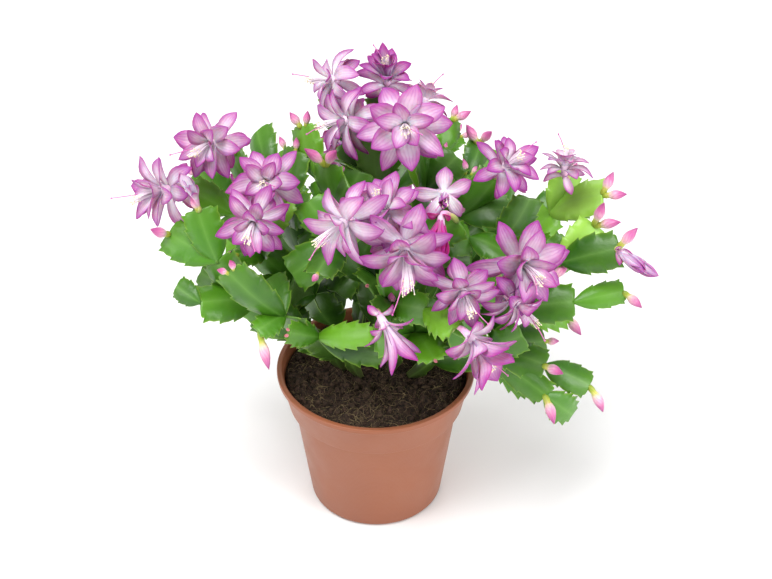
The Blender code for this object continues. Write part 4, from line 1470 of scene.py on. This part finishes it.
# %% The kinds of flower
# Each whorl: (petals, place back from the throat, leaves the axis at and ends at in degrees,
# length, width), in shares of the flower's radius.
WHORLS = {
    "open": (
        (5, 0.00, 20, 58, 0.86, 0.42), (6, 0.10, 44, 84, 1.06, 0.48),
        (6, 0.30, 62, 112, 1.08, 0.44), (4, 0.62, 74, 140, 0.76, 0.36),
    ),
    "star": ((5, 0.10, 66, 96, 1.10, 0.58), (5, 0.00, -4, 6, 1.05, 0.40), (3, 0.70, 50, 110, 0.7, 0.40)),
    "ragged": (
        (6, 0.00, 4, 30, 1.15, 0.46), (6, 0.18, 20, 66, 1.12, 0.46),
        (6, 0.40, 48, 120, 1.00, 0.40), (4, 0.70, 70, 140, 0.7, 0.34),
    ),
    "swept": (
        (4, 0.00, 30, 86, 1.00, 0.46), (6, 0.12, 60, 124, 1.20, 0.50), (6, 0.34, 82, 140, 1.14, 0.46),
        (4, 0.66, 80, 150, 0.74, 0.36),
    ),
    "bowl": (
        (5, 0.00, 16, 44, 1.35, 0.74), (6, 0.14, 30, 78, 1.40, 0.72), (5, 0.40, 52, 112, 1.15, 0.56),
    ),
    "narrow": ((4, 0.0, 4, 40, 2.1, 0.70), (4, 0.3, 24, 120, 1.5, 0.52), (3, 0.8, 60, 130, 0.8, 0.40)),
    "hanging": ((5, 0.0, -6, 22, 2.2, 1.0), (5, 0.4, 10, 48, 1.6, 0.9), (3, 0.9, 30, 100, 0.9, 0.6)),
    "opening": ((5, 0.0, 20, -24, 2.7, 1.05), (5, 0.4, 24, -20, 2.3, 1.1), (3, 0.9, 30, 24, 1.3, 0.6)),
}

# %% [markdown]
# Each flower: the joint that bears it, the centre of its mouth and its radius in millimetres, its kind,
# the way its throat and stamens point, and how deep its violet is.

# %% Where the flowers go
FLOWERS = {
    "flower_far_left": ("C1b", (-136, 0, 238), 22, "open", (-0.75, -0.45, 0.1), 0.5),
    "flower_left_up": ("D2b", (-103, 15, 262), 23, "open", (-0.5, -0.8, 0.25), 0.5),
    "flower_left_inner": ("C4", (-65, -15, 255), 22, "open", (0.0, -0.75, 0.5), 0.6),
    "flower_left_front": ("C3", (-71, -48, 245), 21, "open", (-0.15, -0.95, 0.1), 0.62),
    "flower_centre_left": ("P1", (-23, -72, 260), 22, "swept", (-0.75, -0.6, -0.15), 0.5),
    "flower_centre": ("Q1", (5, -58, 269), 22, "open", (-0.3, -0.3, 0.9), 0.5),
    "flower_top_large": ("G2", (18, 0, 284), 27, "open", (0.0, -0.85, 0.45), 0.55),
    "flower_crest": ("F5", (7, 72, 284), 20, "ragged", (-0.1, -0.2, 1.0), 0.85),
    "flower_top_left": ("F3b", (-33, 62, 282), 18, "swept", (-0.9, -0.2, 0.25), 0.55),
    "flower_top_side": ("F2", (-25, 30, 270), 20, "swept", (-0.9, -0.35, 0.1), 0.6),
    "flower_top_right": ("G3b", (34, 90, 258), 15, "open", (0.35, 0.5, 0.8), 0.22),
    "flower_right_up": ("H2", (81, -6, 265), 20, "open", (0.45, -0.35, 0.8), 0.7),
    "flower_right_pale": ("I2", (117, 28, 247), 15, "open", (0.05, 0.45, 0.9), 0.28),
    "flower_centre_star": ("H3", (41, -23, 250), 16, "star", (0.0, -0.9, 0.2), 0.45),
    "flower_centre_hanging": ("Q3", (38, -48, 237), 9, "hanging", (0.0, -0.4, -0.9), 1.0),
    "flower_front_large": ("N2", (18, -84, 244), 27, "open", (0.05, -0.85, -0.4), 0.55),
    "flower_front_right": ("M1", (52, -86, 222), 19, "open", (0.25, -0.85, -0.1), 0.6),
    "flower_right_large": ("I5", (90, -60, 224), 27, "open", (0.35, -0.85, 0.25), 0.55),
    "flower_right_low": ("M2", (61, -102, 197), 18, "bowl", (0.6, -0.5, -0.6), 0.5),
    "flower_right_mid": ("M4", (88, -70, 201), 18, "swept", (0.75, -0.5, -0.4), 0.85),
    "flower_front_narrow": ("N1", (12, -95, 198), 12, "narrow", (0.5, -0.45, -0.75), 0.6),
    "flower_left_opening": ("A3", (-112, -20, 262), 6, "opening", (-0.35, -0.2, 0.9), 0.08),
    "flower_right_opening": ("J2", (164, -38, 207), 8, "opening", (0.8, -0.3, -0.4), 0.22),
    "flower_back_left": ("T2", (-88, 132, 164), 20, "open", (-0.4, 0.9, 0.2), 0.55),
    "flower_back_top": ("S2", (-24, 146, 188), 20, "swept", (-0.1, 0.9, 0.4), 0.6),
    "flower_back_right": ("R2", (88, 145, 168), 20, "open", (0.4, 0.9, 0.2), 0.55),
    "flower_back_low": ("S3", (24, 158, 162), 18, "swept", (0.1, 0.9, -0.2), 0.65),
}


# %% Bend the petals and the tube
def tube_spine(base, throat, aim):
    """The curve of the tube from the link's end to the throat, arriving along the aim."""
    bend = throat - aim * 0.5 * (throat - base).length
    shares = np.linspace(0, 1, 12)[:, None]
    first, middle, last = (np.array(point) for point in (base, bend, throat))
    return first * (1 - shares) ** 2 + middle * 2 * shares * (1 - shares) + last * shares ** 2


def petal_copy(origin, frame, turn, whorl, size, start_radius, depth, magenta, dice):
    """One petal, rolled along a curve that leaves the tube and bends back."""
    _, _, leave, arrive, length, width = whorl
    jitter = dice.uniform
    loose = 0.3 if arrive < 0 else 1.0  # petals that still close over the throat keep together
    leave = math.radians(leave + loose * jitter(-10, 10))
    arrive = math.radians(arrive + loose * jitter(-20, 20))
    length, width = length * size * jitter(0.84, 1.12), width * size * jitter(0.86, 1.14)
    points = points_of(petal.data)
    share = np.clip(points[:, 1], 0, 1)
    stations = np.linspace(0, 1, 24)
    slant = leave + (arrive - leave) * stations ** 0.85
    out = start_radius + np.concatenate([[0], np.cumsum(np.sin(slant[1:]))]) * length / 23
    high = np.concatenate([[0], np.cumsum(np.cos(slant[1:]))]) * length / 23
    lean = np.interp(share, stations, slant)
    reach = 2 * points[:, 0]
    trough = jitter(0.3, 0.75) * (1 - 0.55 * share)
    ruffle = 0.03 * np.sin(9 * share + jitter(0, 6.28)) * reach * share
    lift = width * (0.5 * trough * reach ** 2 + ruffle) + points[:, 2] * 0.35 * MM
    sway = loose * jitter(-0.2, 0.2) * length * share ** 2
    radius = np.interp(share, stations, out) - np.cos(lean) * lift
    height = np.interp(share, stations, high) + np.sin(lean) * lift
    sideways = -(points[:, 0] * width + sway)
    local = np.stack([
        radius * math.cos(turn) - sideways * math.sin(turn),
        radius * math.sin(turn) + sideways * math.cos(turn),
        height,
    ], 1)
    spots = local @ frame + origin
    spots[:, 2] -= 0.06 * length * share ** 2
    marks = np.zeros((len(points), 3))
    marks[:, 0] = min(1.0, max(0.0, depth + jitter(-0.12, 0.12)))
    marks[:, 1] = points[:, 2] < 0
    marks[:, 2] = magenta
    return copied(petal, spots, marks)


STAMEN_COUNT = 26


def stamen_parts(throat, aim, size, dice):
    """The bundle of filaments with an anther each, and the pistil that stands beyond them."""
    made = []
    frame = axis_frame(aim)
    sag = np.array((0, 0, -0.12 * size))
    for i in range(STAMEN_COUNT):
        angle, spread = dice.uniform(0, 6.28), dice.uniform(0.01, 0.09) * size
        length = size * dice.uniform(0.6, 0.92)
        swing = np.array((math.cos(angle), math.sin(angle), 0))
        shares = np.linspace(0, 1, 6)[:, None]
        local = swing * (0.05 * size + spread * shares ** 1.5) + np.array((0, 0, 1)) * (length * shares)
        spine = local @ frame + np.array(throat) + sag * shares ** 2
        side, up = frames_along(spine, frame[0])
        thin = points_of(filament.data) * (0.3 * MM, 0.3 * MM, 1)
        made.append(copied(filament, swept(thin, spine, side, up)))
        bead = points_of(anther.data) * (0.42 * MM, 0.42 * MM, 0.5 * MM)
        made.append(copied(anther, bead @ frame + spine[-1]))
    shares = np.linspace(0, 1, 8)[:, None]
    arc = np.array((0.34 * size, 0, 0)) * shares ** 2 * dice.choice((-1, 1))
    local = arc + np.array((0, 0, 1)) * (1.3 * size * shares)
    spine = local @ frame + np.array(throat) + 1.3 * sag * shares ** 2
    side, up = frames_along(spine, frame[0])
    thin = points_of(pistil.data) * (0.32 * MM, 0.32 * MM, 1)
    made.append(copied(pistil, swept(thin, spine, side, up)))
    made.append(copied(stigma, points_of(stigma.data) * (0.6 * MM) @ frame + spine[-1]))
    return made


# %% Grow the flowers
def grow_flower(name, joint, mouth, radius, kind, aim, depth):
    """One flower: its tube with the ovary, its whorls of petals, and its stamens and pistil."""
    dice = random.Random(name)
    base = joint_place[joint] - joint_run[joint] * MM
    aim = Vector(aim).normalized()
    size = radius * MM
    back = {"opening": 2.2, "hanging": 0.9, "narrow": 0.9}.get(kind, 0.32) * size
    throat = Vector(mouth) * MM - aim * back
    spine = tube_spine(base, throat, aim)
    side, up = frames_along(spine, (0.3, 0.2, 1.0))
    tube = points_of(tube_shape.data)
    tube[:, :2] *= MM * (1.0 + 0.25 * min(1.0, radius / 22))
    parts = [copied(tube_shape, swept(tube, spine, side, up), (0.5, 0, 0))]
    run = np.gradient(spine, axis=0)
    reach = (Vector(spine[-1]) - Vector(spine[0])).length
    for whorl in WHORLS[kind]:
        share = max(0.3, 1 - whorl[1] * size / max(reach, size))
        origin = np.array([np.interp(share, np.linspace(0, 1, 12), spine[:, k]) for k in range(3)])
        heading = np.array([np.interp(share, np.linspace(0, 1, 12), run[:, k]) for k in range(3)])
        frame = axis_frame(Vector(heading).normalized())
        offset = dice.uniform(0, 6.28)
        magenta = 0.75 if kind == "hanging" else 0.12 * (whorl[1] > 0.5)
        for i in range(whorl[0]):
            turn = offset + 2 * math.pi * (i + dice.uniform(-0.13, 0.13)) / whorl[0]
            parts.append(petal_copy(
                origin, frame, turn, whorl, size, 1.5 * MM, depth + 0.3 * whorl[1], magenta, dice,
            ))
    if kind not in ("opening", "hanging"):
        parts += stamen_parts(throat, aim, size, dice)
    flower = joined(name + "_bloom", parts)
    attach(flower, "root")
    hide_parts(name)
    return flower


flowers = [grow_flower(name, *row) for name, row in FLOWERS.items()]
print("flowers", len(flowers), "with", sum(len(flower.data.polygons) for flower in flowers), "faces")


# %% The large buds
BUDS = {
    "bud_left_tip": ("A2", (-134, -20, 225)),
    "bud_left_hanging": ("B1", (-64, -62, 151)),
    "bud_top_left_a": ("E2", (-42, 8, 264)),
    "bud_top_left_b": ("E2", (-23, 9, 262)),
    "bud_top_right": ("G1b", (60, 60, 260)),
    "bud_right_up_a": ("H1b", (57, 52, 255)),
    "bud_right_up_b": ("H1b", (73, 52, 250)),
    "bud_right_outer_a": ("I3", (148, 30, 234)),
    "bud_right_outer_b": ("I3", (156, 20, 224)),
    "bud_right_mid_a": ("J1b", (139, 0, 231)),
    "bud_right_mid_b": ("J1b", (150, -2, 218)),
    "bud_right_tip": ("J2", (157, -20, 226)),
    "bud_right_low_a": ("K1b", (164, -28, 172)),
    "bud_right_low_b": ("K2", (131, -12, 138)),
    "bud_right_hanging_a": ("L2", (110, -71, 115)),
    "bud_right_hanging_b": ("L1b", (144, -46, 103)),
}


def grow_bud(name, joint, tip):
    dice = random.Random(name)
    base = joint_place[joint] - joint_run[joint] * MM
    bud = bud_copy(base, Vector(tip) * MM, 1.0, dice)
    bud.name = name + "_spindle"
    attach(bud, "root")
    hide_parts(name)
    return bud


buds = [grow_bud(name, *row) for name, row in BUDS.items()]
print("large buds", len(buds))

# %% [markdown]
# ## Finish
#
# The masters have done their work and go.

# %% Clear up
for master in (crumb, root_hair, link, young_link, foot_link, bud_shape, knuckle_shape, petal, tube_shape,
               filament, pistil, anther, stigma):
    bpy.data.objects.remove(master)
